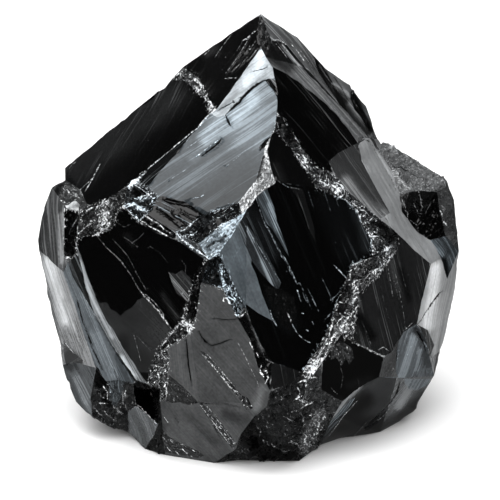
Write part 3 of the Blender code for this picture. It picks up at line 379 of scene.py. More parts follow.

# The healed veins, open cracks and sharp arrises; a pale line along an arris is partly a chipped edge and
# partly painted highlight. They are drawn on the panes as lines before the panes are divided, so that edges
# of the mesh run along them. A line is its tone, from 0 to 1 as the eye sees it, its half-width in mm, then
# its points: a named corner, or how far across and up it is seen.

VEINS = [
    # The roof, the pale line along its sharp lower edge, partly a chipped edge and partly painted
    # highlight, and the scratches on the pane above it.
    "0.75 0.2 -30,51 -31,48.8 -32,47 -33,45.4", "0.5 0.12 -31.2,48.4 -32.6,47 -34,45.8",
    "0.5 0.1 -34.6,51.6 -35.6,50.8 -36.2,50", "0.8 0.2 a1 st1 st3", "0.42 0.1 -3.6,77 -5,75.2 -7,72.4",
    "0.42 0.1 0.2,76.8 -2.4,72.4 -4.8,69.2", "0.6 0.12 -9.4,72.6 -8.2,73.6", "0.6 0.14 -5,68.1 -2.8,68.2",
    "0.7 0.16 -1.6,75.6 -0.2,76.4 1,77.6", "0.5 0.09 -0.2,71.8 1.4,74", "0.5 0.08 -0.6,70.6 1.2,72.6",
    "0.3 0.08 -1.4,75.6 -2.6,73.6", "0.45 0.07 0,73.8 1,75.4", "0.4 0.06 -1.2,72.6 0,74.6",
    "0.35 0.06 -2,70.6 -0.6,72.4", "0.4 0.05 -3.6,69.4 -2,71",
    # The streaked silver pane and its crushed rim.
    "0.8 0.1 -6.4,55.8 -8.8,54 -10.8,52.4", "0.8 0.12 -10.2,44.2 -9,44.8", "0.8 0.12 -11.8,44 -10.8,44.2",
    "0.5 0.08 -8.8,57 -10.8,55.4 -12.8,54", "0.5 0.07 -12.8,49.8 -14.8,48.6 -16.4,47.6",
    "0.9 0.25 -14.4,36.8 -12,34.6 -9,32.6", "0.5 0.07 -0.8,53.8 -2.8,52 -4.8,50.4",
    # The long black pane on the left.
    "0.4 0.14 -30.4,36.4 -28.8,34.4 -26,31.8 -24,29.2 -22,25.8",
    "0.7 0.22 -22,25.8 -20.4,24 -18.6,22 -16.8,19.6 -15.8,18.2",
    "0.28 0.12 -27.4,36 -24.4,32.6 -22.4,28.8 -20.6,25.8", "0.5 0.1 -21,25.2 -19,23.4 -17.2,21",
    "0.4 0.08 -23,16.8 -22.4,14.2 -21.8,11.6", "0.3 0.07 -22.4,16.6 -19.6,13.4",
    "0.2 0.1 -17.4,24.2 -16,22.6 -14.8,21",
    # Strands of powder in the seams.
    "1 0.22 -5.9,30.3 -5.6,29.7 -5.6,28.8 -5.8,28", "1 0.4 -5.1,27.6 -4.9,27 -5.6,26.4",
    "0.95 0.3 -5.6,26.4 -5.2,25.8 -4.6,26.2", "0.9 0.18 -4,26 -3.6,26.6",
    "0.95 0.22 -2.8,25.6 -2.6,25 -2.8,24.4", "1 0.3 -2.1,24.3 -1.7,23.5", "0.95 0.25 -5.4,23.6 -5.2,24.2",
    "1 0.28 -4.6,24.2 -4.2,23.6", "0.95 0.26 -3.8,24.2 -3.4,23.8 -3,23.2", "1 0.4 -4.2,23.2 -3.8,22.9",
    "0.95 0.2 -3.4,23.5 -2.8,23 -2.4,22.6", "0.9 0.18 -3,21 -2,20.4 -1.4,20.8 -0.8,21.4",
    "1 0.25 20,29.2 20.1,28.2 19.4,27.6", "1 0.45 20.6,27.2 21.2,26.4 21.8,26",
    "1 0.35 20.8,25.6 21.6,26.2", "0.85 0.25 20.8,25 20.7,23.4", "0.9 0.12 17.8,23.4 18.4,23.2",
    "0.8 0.12 17.8,21.2 18.8,20.4", "0.8 0.12 18.8,21.2 20,20.8 19.4,20",
    "0.85 0.16 19.2,19.8 18.4,19 17.8,18.2", "1 0.35 16.6,19.4 16.2,18.2 15.8,17",
    "1 0.55 16.6,16.6 16.2,15.6 15.6,14.6", "1 0.35 17.4,17.2 16.9,16.4", "0.95 0.22 15.4,16 15.1,15.2",
    "1 0.35 14.2,13.6 13.6,12.6 13.4,11.8", "1 0.3 12.2,12.2 12.8,11.6 13.2,11.5",
    "0.95 0.3 15.2,13 14.4,12 13.8,11.2", "1 0.35 13.6,10.8 12.8,10 11.8,9.6",
    "1 0.24 11.6,8.6 12.4,8.2 13,8.4", "0.95 0.24 10,7.2 10.8,7.8 11.4,7.4 11.2,6.4",
    "0.9 0.22 9.6,6.2 10,5.4 9.6,4.8", "0.85 0.18 10.4,4.6 9.4,4.2 8.6,3.6",
    "1 0.25 -14.8,68.6 -14,69.2 -13.4,68.8", "1 0.3 -11.6,67.6 -10.8,68 -10.2,67.2 -9.6,66.2",
    "1 0.28 -11,66.6 -10.2,65.8", "0.95 0.18 -9.2,64.8 -8.8,63.8",
    "0.95 0.16 -8.4,64.2 -7.8,63 -7.4,62.2", "0.95 0.3 -13.6,37.4 -12.2,38.6 -10.6,39.9",
    "0.85 0.16 -12.4,36.2 -11.4,36.6 -10.6,37.6", "1 0.35 -6.8,38 -5.6,39 -4.2,39.6",
    "1 0.28 -5.8,37.7 -4.4,38.6 -3.2,39.7", "1 0.16 -8.2,37 -7.8,37.6", "1 0.35 -8.8,32.6 -8.2,32",
    "0.9 0.14 -13.6,25 -13.2,25.6", "0.95 0.18 -11.8,26.2 -11.6,25.8", "0.7 0.12 -12.2,24.6 -11.8,23.2",
    "1 0.18 -10.9,22.3 -10.8,22", "1 0.26 -12,18.8 -11.4,18.3 -11,18.2", "0.95 0.2 -14.2,17.8 -13.8,18",
    "0.9 0.18 -19.8,10.8 -18.6,10.6 -17.6,10.4", "0.9 0.22 -17.4,10.1 -17.8,9 -18.1,8",
    "0.95 0.2 -17.4,7.6 -16.8,6.4 -16.6,5.2", "0.8 0.16 -18.4,5.2 -17.6,4.2",
    "0.7 0.16 -17.8,12.8 -16.8,11.8", "1 0.24 14,47.8 15.2,47 16.2,46.6",
    "1 0.2 16.8,47.2 17.6,47.2 18.6,46.2 19,45.2", "0.85 0.14 18.9,45 18.2,44.4 17,45",
    "0.95 0.2 20,43.6 21,42.9 22,42.3", "0.9 0.16 20.9,43.7 21.8,43 22.6,42.2",
    "0.85 0.12 21.4,42.1 22.4,41.5 23.6,40.7", "0.7 0.14 23.2,39.2 24.2,40",
    "1 0.24 24.2,36.6 24.2,35.2 24.4,34", "0.9 0.14 24.4,36.6 25.4,36.4",
    "1 0.3 27.2,33.6 27.8,34.2 28.6,34.4", "0.9 0.25 26.8,32.6 27.6,33 28.2,33.7",
    "0.8 0.2 27,32 28,32.4 29.1,33.6", "0.7 0.12 21,27.6 23,28.3 24.8,29.6 26.6,30.9",
    "1 0.25 -24.6,46.4 -23.4,47.1 -22.2,47.5", "0.8 0.12 -25,45.8 -23.8,46.3 -22.4,46.4 -21.4,45.8",
    "0.95 0.18 -21.4,45.7 -20.4,45 -19.5,44.2", "0.9 0.18 -18.5,44.6 -19.4,44.1 -20.2,43.2",
    "0.9 0.14 -20.6,44.8 -22,44.4 -23.2,44", "1 0.32 -25.2,42.6 -23.8,43 -22.4,42.6 -21.4,41.5",
    "0.85 0.12 -24,41.2 -22.8,40.2 -21,39.2 -19,38 -16.4,36.5",
    "0.9 0.14 -21.2,40.8 -20,39.9 -18.4,38.9 -16.2,37.3", "0.7 0.14 -33.2,38 -32,39 -30.6,40",
    "0.9 0.2 -30.4,42.8 -29.4,43.6 -28.8,44", "0.9 0.22 -29.2,41 -28.6,40 -29,38.6",
    "0.8 0.16 -31.6,36.6 -30.2,37.2 -29.2,37.8", "0.9 0.16 -17.4,0.8 -16.4,-0.6",
    "0.95 0.2 -17.4,-3.6 -16.8,-4.4", "0.95 0.25 -16.6,-5.6 -16,-6.4", "1 0.25 -15,-6.4 -14.2,-7.2",
    "0.95 0.2 -13.6,-6 -12.6,-7", "0.9 0.18 -11.8,-6 -11,-6.6", "0.8 0.14 -16,-4.2 -15.2,-5",
    "0.7 0.12 -14,-4.8 -12.8,-5.6", "0.9 0.12 -22.6,2.8 -20.6,1.1 -18.6,-1",
    "0.8 0.1 -30,6.6 -29.2,5.6 -28.4,4.4", "0.7 0.08 -29,7 -28.2,6 -27.4,5.2",
    "0.8 0.1 -30.6,5 -29.4,4.6 -28.4,4", "0.8 0.12 -25.6,7 -24.8,5.8 -24.2,4.6",
    "0.6 0.1 -29.2,1.4 -28,0.6 -26.8,-0.6", "0.7 0.09 -27.6,2.6 -26.6,1.6 -25.4,1",
    "0.7 0.09 -30.6,3.4 -29.4,3.2 -28.2,2.8", "0.6 0.08 -30.8,2.2 -30.2,1.2 -29.6,0.6",
    "0.6 0.08 -25,4.6 -24.6,3.2 -24.4,2", "0.9 0.12 -36.8,15.2 -36,14.2 -35.2,13.2",
    "0.8 0.1 -38,15.2 -37.6,14.2 -37.8,13.2", "1 0.22 2.4,10.8 2.1,9.4 2.8,8.2",
    "0.95 0.18 3.2,9.6 3.5,8.2 3,7", "0.9 0.18 1.2,13.4 1.8,12.2", "0.8 0.14 0,15.4 0.6,13.8",
    "1 0.26 10.4,-6.6 11.8,-5 13.2,-3.8", "0.95 0.22 11.2,-2.2 10.6,-4.2 10,-6",
    "0.9 0.22 13.6,-2.6 14.4,-1 15.2,0.6", "0.9 0.26 12.2,-4.2 13.6,-3 14.6,-2",
    "0.8 0.16 10.6,0.6 10.8,-1 10.4,-2.2", "0.6 0.12 8,-4.2 9.4,-5.4", "0.7 0.14 11.6,1 13.2,1.6",
    "0.9 0.24 10,2.2 11.6,2.9 13.2,3.4", "0.9 0.2 9.4,4 10.8,3.4", "0.55 0.1 2.4,-4.2 4.4,-5.8 6.8,-6.6",
    "0.45 0.08 1.4,-1 2.2,-2.4 1.8,-3.8", "0.45 0.1 7,0.4 8.4,-0.4 9.4,-0.2",
    "0.35 0.06 -23.6,35.2 -22.2,36.2 -21.2,37.2", "0.3 0.06 -25.6,36.6 -24,35.6 -22.4,34.4",
    "0.28 0.05 -26.8,39.4 -25.2,38.4 -23.8,39", "0.25 0.05 -20,34.6 -18,33.4 -16.4,31.4",
    "0.25 0.05 -14,32.2 -12.8,30.6 -13,28.6", "0.8 0.1 9.4,25.8 9.6,25.6", "0.8 0.12 8,20.2 8.2,19.8",
    "0.8 0.1 6.6,24.2 6.8,24", "0.7 0.1 12.4,19.4 12.6,19", "0.6 0.1 11.2,17.8 11.6,17.6",
    "0.5 0.08 16,23.8 17.2,24.6 18,25.6", "0.6 0.1 13.6,15 13.2,13.8",
    "0.4 0.08 2.4,13.4 3.6,11.8 5.2,10.8", "0.8 0.1 16.6,-2.2 19,1 21.6,3.8",
    "0.6 0.1 15.6,-3.4 18.4,0.2 20.8,3", "0.6 0.08 25.6,13.8 26.8,14.4 27.8,13.6",
    "0.6 0.12 26.6,12.2 27.6,13", "0.25 0.06 18,10.6 18.6,8.6 18.2,6.2", "0.3 0.08 16.2,6.2 17.4,5",
    "0.8 0.14 -32.8,41 -32,42 -31,42.4", "0.8 0.16 -34.4,36.6 -33.6,38 -33,38.8",
    "0.7 0.12 -37.2,45.8 -35.8,44.8 -34.4,44.6", "0.7 0.12 -38,43.8 -36.6,43.2",
    # The lower middle: paired veins down the two grey panes.
    "0.66 0.15 -9.8,13.2 -7.8,11 -5.8,8.6 -4,6.4 -2,4.8", "0.5 0.1 -9,13.4 -7.2,11.4 -5.4,9.2 -3.2,6.6",
    "0.45 0.1 -2.6,15.6 -1.4,13.4 -0.2,11 0.8,8.8 1.8,6.6",
    "0.55 0.14 -10,2.8 -8.6,1 -6.8,-1.4 -5.2,-3.6 -3.6,-5.4", "0.5 0.08 -23,3.2 -20.6,1 -18.8,-1.2",
    "0.4 0.06 -20.2,5 -19.4,1.8", "0.45 0.12 -9,3 -7.2,0.8 -5.4,-1.8 -2.8,-5.2",
    "0.42 0.1 3.4,-4.4 5,-5.8 7,-6.4 8.6,-6", "0.42 0.1 7.8,-4.4 9.2,-5.2 10.4,-6.2",
    "0.6 0.12 -21.6,1.6 -20,0.4 -18.8,-1",
    # The big black pane on the right.
    "0.4 0.1 -1.4,39.4 0.4,36.6 2.4,33.4 4.4,30.2 6.2,27.2", "0.45 0.09 3,39.2 4.6,36 6.4,32.4",
    "0.35 0.07 3.6,38.2 5.4,34.8 6.8,32", "0.5 0.13 7,32.2 8,30.2 9.2,27.6",
    "0.4 0.13 11.6,26 12.6,23.8 13.6,21.6", "0.4 0.1 9.6,25.2 10.2,23.4", "0.4 0.08 10.6,25.2 11.2,23.4",
    "0.32 0.11 14.4,28.2 15.6,25.6 16.6,23.2", "0.65 0.13 16.8,30.8 18,29.6 19.2,28.2",
    "0.55 0.1 15,20 16.2,21.2", "0.9 0.26 10.4,21.2 10.6,21.1", "0.55 0.11 7.4,21.4 8.2,19.4 9.4,17.2",
    "0.7 0.14 4,21.6 4.6,20 5.4,18.6", "0.25 0.08 11.6,45.8 12.2,43.8 12.8,42.2",
    "0.22 0.08 14.8,45.8 15.6,43.2 16.2,41.4", "0.22 0.1 17.2,44.2 17.8,42.4", "0.6 0.08 5.2,25 5.4,24.8",
    "0.4 0.1 5.6,47.6 7.6,46.4 9.8,46", "0.6 0.09 9.4,17.2 10.6,16 12,15.2",
    "0.35 0.08 1.2,44.2 2,41.4 3,38.6", "0.5 0.08 -3.2,32.4 -2,34.2", "0.3 0.06 6.6,32.8 7.8,29.8 9.4,27",
    "0.3 0.07 10,27.2 11.2,24.6 12.2,22",
    # The right side.
    "0.36 0.08 29,29.8 29.8,25.8 30.8,20.2 31,18.2", "0.4 0.1 27.6,30.6 28.2,27 28.6,24.4",
    "0.3 0.06 28.4,30.2 29,27 29.8,23.8", "0.28 0.06 26.2,26.6 26.8,23.8 27.8,20.2",
    "0.26 0.05 30,31.4 30.6,28.6 31.4,25.4", "0.3 0.08 22.4,19.4 23.4,17.4 24.2,15",
    "0.28 0.06 25.2,24.6 25.8,22.6", "0.6 0.2 20.8,15.2 22.4,14.6 24.4,13.6 26.6,12.6",
    "0.75 0.14 6.2,75 8,73 9.4,71.2", "0.8 0.2 8.2,75 9.6,73.4 10.8,71.6",
    "0.8 0.2 4.6,75.8 5.8,75.8 7.4,74.8", "0.6 0.1 5.2,75 6.4,73.6 7.4,72.2",
    "0.5 0.1 9.4,74.6 11,72.4 12.4,70.4", "0.6 0.1 32.6,19.4 31.6,18.4 30.6,17.6",
    "0.75 0.2 32.6,15.6 31.6,13.4 30.8,11.2", "0.6 0.12 31.2,6.2 30.2,4.4",
    "0.6 0.1 34.2,16.4 35.6,14 36.4,11.6", "0.5 0.08 24.4,-1 26.8,0.8 28.4,2.8",
    "0.45 0.08 20.2,-3.6 22,-1.8 23.2,-0.4", "0.5 0.1 29.8,13.8 29.4,11.4 28.2,9.4",
    "0.45 0.14 30.2,44 31.4,41.4 32.6,39.2 33.6,37.6", "0.42 0.12 31.8,45 32.8,42.6 34,39.8",
    "0.42 0.45 33.6,45.8 34,43.8 34.1,41.6", "0.8 0.14 38,41.6 38.6,40.2 39.2,38.6",
    "0.5 0.12 20.8,65.8 20.4,64.2 21.6,62.6",
]
# Those on the back are placed where they would be seen through the stone.
BACK_VEINS = [
    "0.5 0.12 -35.2,32.6 -32.4,28.6 -30.4,23.8 -28.4,18.8",
    "0.35 0.07 -30,35.8 -28.8,31.4 -27.6,25.8 -27,20.2", "0.4 0.08 -35.6,29 -34,25.4 -32,21",
    "0.5 0.1 -27.6,47.4 -26.4,44.6 -25.8,41", "0.4 0.07 -22,51.8 -23.2,47.8 -24,44.6",
    "0.8 0.12 -9.6,67 -7.2,69 -4.4,70.6", "0.8 0.1 -18,44.6 -15.6,45.8 -13.2,46.6",
    "0.6 0.1 2.4,71.8 4,69 6.4,66.2", "0.7 0.1 -3.6,59.8 -2.4,57 -2.8,53.8",
    "0.5 0.1 16.4,61.8 19.2,58.2 21.6,55", "0.5 0.1 6.4,61.4 8,56.6 9.6,51.8 10.6,46.6",
    "0.4 0.07 13.2,61.4 14.4,57.4 15.2,53.4", "0.6 0.12 0.4,55.8 1.6,52.2 2.4,48.6",
    "0.35 0.1 17.2,55.8 16,51 14.8,45.8", "0.5 0.1 -16,39.4 -13.2,37.4 -10.8,35",
    "0.4 0.08 6.8,41 7.6,37.4 8.8,34.2", "0.45 0.08 -8.8,42.6 -6.8,39 -4.8,34.6",
    "0.66 0.14 -10.8,27 -8.8,24.6 -7.2,22.2", "0.5 0.1 6.4,26.6 7.6,24.2 8.4,20.6",
    "0.45 0.08 -20,35.8 -18.4,31.4 -18.8,25.4", "0.55 0.12 21.6,37.4 23.2,31.4 24,24.6 25.2,18.2",
    "0.4 0.08 26.8,33.8 26.4,27.8 26.8,21.4", "0.5 0.1 26.8,48.2 28.4,43.8 30,37",
    "0.5 0.08 -24.4,70.6 -20,66.6 -16,63.8", "0.4 0.08 -20,63.8 -24,59.8 -26.8,55.8",
    "0.6 0.14 -18,15.8 -15.6,13.4 -14.4,10.2", "0.5 0.1 16,15 17.6,12.6 18.4,9.8",
    # Strands of powder in its two seams, and along their edges.
    "1 0.3 -17,58.2 -16.4,55.8 -17.4,54.2", "0.95 0.3 -18.4,51.8 -18,50.2 -18.8,48.2",
    "1 0.35 -20.2,46.6 -20.6,44.6 -20,43.4", "0.9 0.25 -22,41.4 -22.4,39.8 -21.2,37.8",
    "1 0.35 -23.4,35.8 -22.4,33.8 -23.2,31.4", "0.95 0.25 -24,28.6 -23.2,26.2 -24.4,24.2",
    "0.9 0.3 -23.6,22.6 -24.6,20.6 -24,19.6", "0.8 0.14 -15,59.6 -16.4,53.8 -18.4,47.8 -20.4,42",
    "0.7 0.12 -24.2,38.2 -24.6,31.8 -25.2,23.8 -25.6,19.4", "1 0.3 23.4,52.2 24,50.6 22.6,49.4",
    "0.95 0.3 21.4,47.8 20.8,46.2 21.4,44.6", "1 0.35 19.2,43.8 18.4,41.8 19.2,40.2",
    "0.9 0.25 17.6,39 18.4,36.6 16.8,35", "1 0.35 16.8,33 15.6,31 16.6,29",
    "0.95 0.25 15.6,27 14.8,24.6 15.6,23", "0.9 0.3 14,21.4 14.6,19.8 13.4,18.8",
    "0.8 0.14 22.2,52.6 19.2,47.4 16.8,42.6", "0.7 0.12 16.2,39.8 14.6,31.4 12.8,19.8",
    "0.9 0.3 -10,32.6 -7.2,31.4 -4.8,30.2", "0.9 0.2 2.4,28.6 5.2,30.2 8,31.4",
]
BACK_CRACKS = [
    "0 0.28 -13.2,60.2 -10.8,61.4 -8,61 -5.6,62.2 -2.4,63",
    "0 0.14 -18,36.6 -16.4,31.4 -17.2,25.8 -15.6,21.4", "0 0.12 -4,25.4 -2.8,23.4 -3.6,21.8",
    "0 0.12 23.2,45 26.4,43 29.6,42.6",
    "0 0.16 -16.4,58.6 -18,52.6 -20,47 -21.8,41 -22.8,35.8 -23.6,27.8 -24.4,20.2",
    "0 0.16 23.6,51.8 20.4,45.4 18,39.4 16,31.4 14.4,23.8 13.6,19",
    "0 0.12 -10,42.6 -7.2,41.8 -3.6,43 -0.8,41.8", "0 0.14 -31.6,41 -29.2,39.4 -27.6,36.6",
    "0 0.2 5.2,75 6.8,72.6 6.4,69.4", "0 0.12 19.2,27 22,25.8 24.4,26.6",
]
CRACKS = [
    "0 0.34 3,68 1.6,67.2 0.4,66.4 -0.6,65.4 -1.6,64.4 -2.2,63.6 -3.4,62.6 -4.8,61.2",
    "0 0.6 0.2,66.4 -0.8,65.4 -1.6,64.6", "0 0.26 -5,61.1 -4.6,60.2 -3.8,58.6",
    "0 0.22 -5.8,56.4 -6.4,55.4 -7.8,54.2 -9.8,52.6", "0 0.1 0.4,69.6 1.4,69.9 2.4,70.1 3.4,70.6",
    "0 0.08 -6.6,61.8 -5,62.6 -3.4,63.6", "0 0.1 -17.4,44.2 -15,43.6 -12.8,43 -10.8,42 -9.4,41.2",
    "0 0.6 2.2,54.4 3.2,55.4 4.2,56.4", "0 0.5 3.6,67.8 4.4,66.6 5,65.6",
    "0 0.15 -12.8,15.8 -12.6,13.4 -12.4,10.8 -11.8,7", "0 0.08 -7.2,20.2 -5.6,19.8 -4,19.8 -2.2,20",
    "0 0.09 -9.4,15.4 -7.6,14.6 -5.6,15.2 -3.8,16", "0 0.1 -5.6,3.2 -3.6,2.6 -2,2.2",
    "0 0.12 -10.4,17.6 -9.8,16.2 -8.8,15.4", "0 0.3 38.6,25.6 37,23.6 35.6,21.6",
    "0 0.13 35.6,21.6 34.4,19.8 33,18.2", "0 0.3 30.1,7.8 29.4,5.2 28,3 25.4,0.6 23,-1.6",
    "0 0.12 -35.4,19.4 -34.4,16.8 -33.6,13.8", "0 0.1 -37,18.6 -36.4,17.2",
    "0 0.1 -37.8,16.4 -37.2,15 -37.4,13.8", "0 0.08 -36,17 -35.4,14.8",
    "0 0.1 28.6,50.6 31,49.8 33.6,48.6 35.6,47.6",
    "0 0.09 21.6,54.2 22,55.4 23,56 24.2,55.6 25.2,54 26.8,51.2 28.4,48.2 29.4,45.8",
    "0 0.3 20.8,65.4 20.4,64 21.6,62.4 23.2,60 24.2,57.6",
    "0 0.16 -31,20.2 -29.2,17 -27.4,13.8 -25.6,11 -23.4,7.6", "0 0.1 -12,3.4 -8.8,3 -5.8,3.1",
    # The thin dark line from -34.8,23.8 to -31.8,14.8, beside the crease between the left pane and its
    # slope, stands for the shade in that crease: painted shade.
    "0 0.14 -27.6,10.6 -26.6,7.4", "0 0.1 -34.8,23.8 -33.6,19.4 -31.8,14.8",
    "0 0.12 -32.6,16.2 -31,12.6 -29.8,9.8", "0 0.25 13.8,71 14.6,69.6 15.8,68 17.8,65.4",
    "0 0.12 8.6,73.8 10.2,71.8 11.6,69.8", "0 0.1 17,68.6 18.6,66.2 19.8,64.2",
    "0 0.14 33.4,17.6 34.6,15.8 35.4,13.4", "0 0.12 30.2,16.2 29.7,14.2 29.4,12 29.2,9.8 29.6,8.6",
    "0 0.1 32.4,17.2 31.6,15.2", "0 0.1 23.2,-1.8 25.2,-0.4 27.2,1.6", "0 0.3 -15,0 -14.4,-0.8",
    "0 0.12 -7.6,-1.2 -6.6,-2.8 -5.6,-4.4", "0 0.1 23,51.2 24,49.4", "0 0.14 26.2,42 28.4,38.6",
    "0 0.2 21.4,27.8 22.4,28.2 23.6,28.9", "0 0.2 -10.8,67.5 -10.5,66.8",
    "0 0.14 -23.4,42.3 -22.4,41.2 -21.6,40", "0 0.1 -8.8,34.4 -8.2,35.2",
    "0 0.2 20.4,30.2 21,29 20.4,27.6", "0 0.2 -24,45.4 -22.8,45.8 -21.4,45.2",
    "0 0.16 -28.8,42.8 -28,41.8 -28.4,40.6", "0 0.14 -18.6,42.2 -16.4,40.4 -14,38.6",
    "0 0.2 -16,41.4 -13.6,39.6 -12,38.2", "0 0.12 -14,41.8 -12.2,40.6 -10.6,40",
    "0 0.1 -17.2,42.4 -15.6,41.4 -14.4,40.6",
]

# Parts of a pane that broke with a finish of their own, and one painted floor reflection: the pane, then
# the outline as it is seen.
PATCHES = {
    "slate_wedge": (
        "big_right -6.8,32.4 -2.8,38.2 -1.2,35.2 0.4,32.4 0.2,31 1.2,29 2.4,25 4.6,19.6 1.6,21.2 "
        "-0.8,23"
    ),
    "slate_band": (
        "big_right -2.2,37.6 -1.4,40 1.2,36.4 3.2,33.2 5,30 6.2,27 5.6,25.8 4,27.2 2,29.4 0.4,31.6 "
        "-0.8,34.6"
    ),
    "bright_band": (
        "big_right 1,45.6 3.4,46 4.6,42.8 5.4,39.4 7,35.4 7.8,32.6 6.2,35.2 4.4,38 3,39.4 1.8,42.8"
    ),
    "dim_band": "big_right 7.8,46.6 10.6,46 11.6,42.6 12.8,38.6 13.2,35.2 11.8,38.2 10.6,41.8 9.4,44.4",
    # A lighter sheet in the lower part of the long black pane. It stands for the floor that the pane
    # mirrors there: painted reflection.
    "mirrored_sheet": (
        "black_left -31.6,24 -30,23.2 -28.6,23.4 -27.8,22 -26.8,21.6 -25.8,20.6 -24.8,21.6 -23.4,22.4 "
        "-22.4,23.8 -21.2,24.4 -18.4,21.6 -15.2,17.6 -18,14.8 -19.6,9.2 -22.8,9.4 -26.4,13.8 "
        "-30.2,19.6"
    ),
    "hackled_corner": (
        "black_left -16.2,29.4 -14.8,29 -13.6,29.8 -12,28.2 -11.2,25.8 -12,23 -13.6,24.4 -14.6,25 "
        "-15.6,27.4"
    ),
    "dark_wedge": "outer_band 12.8,72.4 14.4,70.8 16.2,68 18.6,64 20,60 18,62.8 15.6,66.4 13.6,69.6",
    "dark_notch": (
        "outer_band 20.2,64.4 21,64.2 21.2,63 22.4,61.6 23.4,59.8 24.2,57.6 23.2,58.6 22.2,60.4 "
        "20.8,62"
    ),
    "silver_notch": "silver 4.6,56.8 4.4,55.6 3.4,54.6 2,53.6 1.8,54.4 3,55.8",
    "silver_chip": "silver 2.8,68 4,68.2 5.2,67.6 5.8,65.8 5.4,64.4 4.6,65.8 3.6,67",
    "slate_foot": "slate_right -2.4,38.6 -0.6,42 -0.6,34.2 -1.2,35.2",
    "gap_slate": "left_gap -30,18.8 -28.4,16.2 -27.4,14.2 -23.2,7.6 -23.4,7 -26.2,7.6 -27.2,13.4",
    "bright_chip": "block_top -37,42.8 -34.8,43.6 -34,43 -34.2,41.6 -36.8,42.2",
    "foot_vein": "foot_left -10.2,3 -9,3.2 -5.6,-1 -2.6,-5 -3.4,-6 -7.2,-1.8",
    "foot_specks": (
        "foot_left -17.6,-2 -16.4,-3.4 -14.8,-4.4 -12.4,-5.6 -10,-6.6 -9.2,-7.4 -10.4,-7.8 -14,-7.2 "
        "-17,-6.6"
    ),
    "foot_crumbs": "foot_left -16.2,8.8 -14,7 -12.2,5.3 -10.2,3.2 -12.4,2.8 -14,3.4 -15.6,3.2 -16.8,3.8",
    "cloudy_patch": (
        "black_low 16.2,14.8 18.6,15.4 20.4,14.2 20.8,12.2 19.8,10.8 19.2,12.2 18.2,10.6 17.2,12.4 "
        "16.2,11.8"
    ),
    "dim_mottle": "big_right 2.6,27 4.2,26.4 6.8,25.8 8.8,24.2 9.4,21.4 8,17.8 6.2,19 4.4,22.2",
    "centre_vein": "centre -10,13.6 -9.2,13.4 -5.6,9.4 -1.4,4.4 -1.8,3.6 -6.8,9.6",
    "vein_knot": "centre -1.8,4.8 -0.4,4.2 0.6,2.2 -0.6,1.6 -1.8,3.6",
    "dim_corner": "bright_right 33.6,18.8 35.6,17.8 37,14.8 36,12.4 35,16.4",
    "blue_streaks": "grey_low_b 13.4,-4.2 16.4,-0.2 20,3.8 21.4,4.4 19.2,1.6 16.2,-2.4 14.2,-4.4",
    "oval_left": "grey_outer 21.2,56.4 22.8,56.3 22,55.4 21.6,54.2 21.4,54.6",
    "oval_right": "grey_outer 24,56.3 24.8,56 26,53.8 25.4,54 24.8,55",
    "oval_side": "grey_low_a 26.8,12.2 28.2,13.6 30.2,16.2 29.7,14.2 29.4,12 29.2,9.8 29.6,8.4 25.8,8.4",
    "oval_foot": "grey_low_c 30.8,8.2 32.4,8 34.8,8 36.2,8 35.4,6.8 33.6,5.8 31.8,6 31,7",
    "foot_gap": "rubble -31.6,11.4 -30.6,9.8 -29.2,7.6 -28.6,6.2 -30.4,6 -31.2,7.2",
    "foot_tongue": "rubble -28.6,8 -25,8 -25.2,5.8 -26,3.6 -26.8,2.4 -27.6,3.8 -28.2,5.8",
    "slope_wedge": "left_slope -31.4,11 -30.2,10 -28.6,6.2 -30.2,6.6 -31,8.6",
    "mottled_foot": "left_pane -37.2,13.4 -35.8,13.8 -33.4,11.8 -33.6,10 -35.2,9 -36.8,10.2",
    "back_bright": (
        "back_high -2.4,72.2 -0.8,68.6 -2,65.4 -5.6,64.2 -8.8,62.2 -10.8,62.6 -8.8,65.4 -5.6,69"
    ),
    "back_wedge": "back_middle 3.6,61.8 7.2,61.4 10,53.8 11.2,46.2 8.4,44.6 6.4,50.8 4.4,56.8",
    "belly_wedge": "belly -4.8,43.4 0,41.8 2.4,37.4 2.4,32.6 0,31.8 -2.8,36.6",
    "low_wedge": (
        "low_right 21.2,36.2 24.4,34.6 25.2,31.4 23.2,28.6 22.4,23.8 19.4,19.4 17.4,20.6 18.6,25.8 "
        "20,31.4"
    ),
    "back_knot": "back_left -22,48.6 -20,50.2 -19.6,47.8 -21.6,44.6 -23.2,42.6 -23.6,45.8",
    "silver_top": (
        "silver 2.4,74 4.6,71.4 5.2,68.2 3,68 0.4,66.6 -1,65.2 -2.4,63.6 -4,61.6 -4.8,61 -6.6,60.4 "
        "-8.2,61.4 -4.8,67.4 -1.2,71.8"
    ),
}


LINES_MERGE_WITHIN = 1e-6


def seen_places(stops):
    """The stops of a line as seen from the station: each is a named corner, or how far across and up."""
    places = [np.fromstring(stop, sep=",") if "," in stop else seen[corner_number[stop]] for stop in stops]
    return np.array(places)


def route(words):
    """The points of a line as seen from the station, its half-width and its tone."""
    line_tone, width, *stops = words.split()
    return seen_places(stops), float(width), float(line_tone)


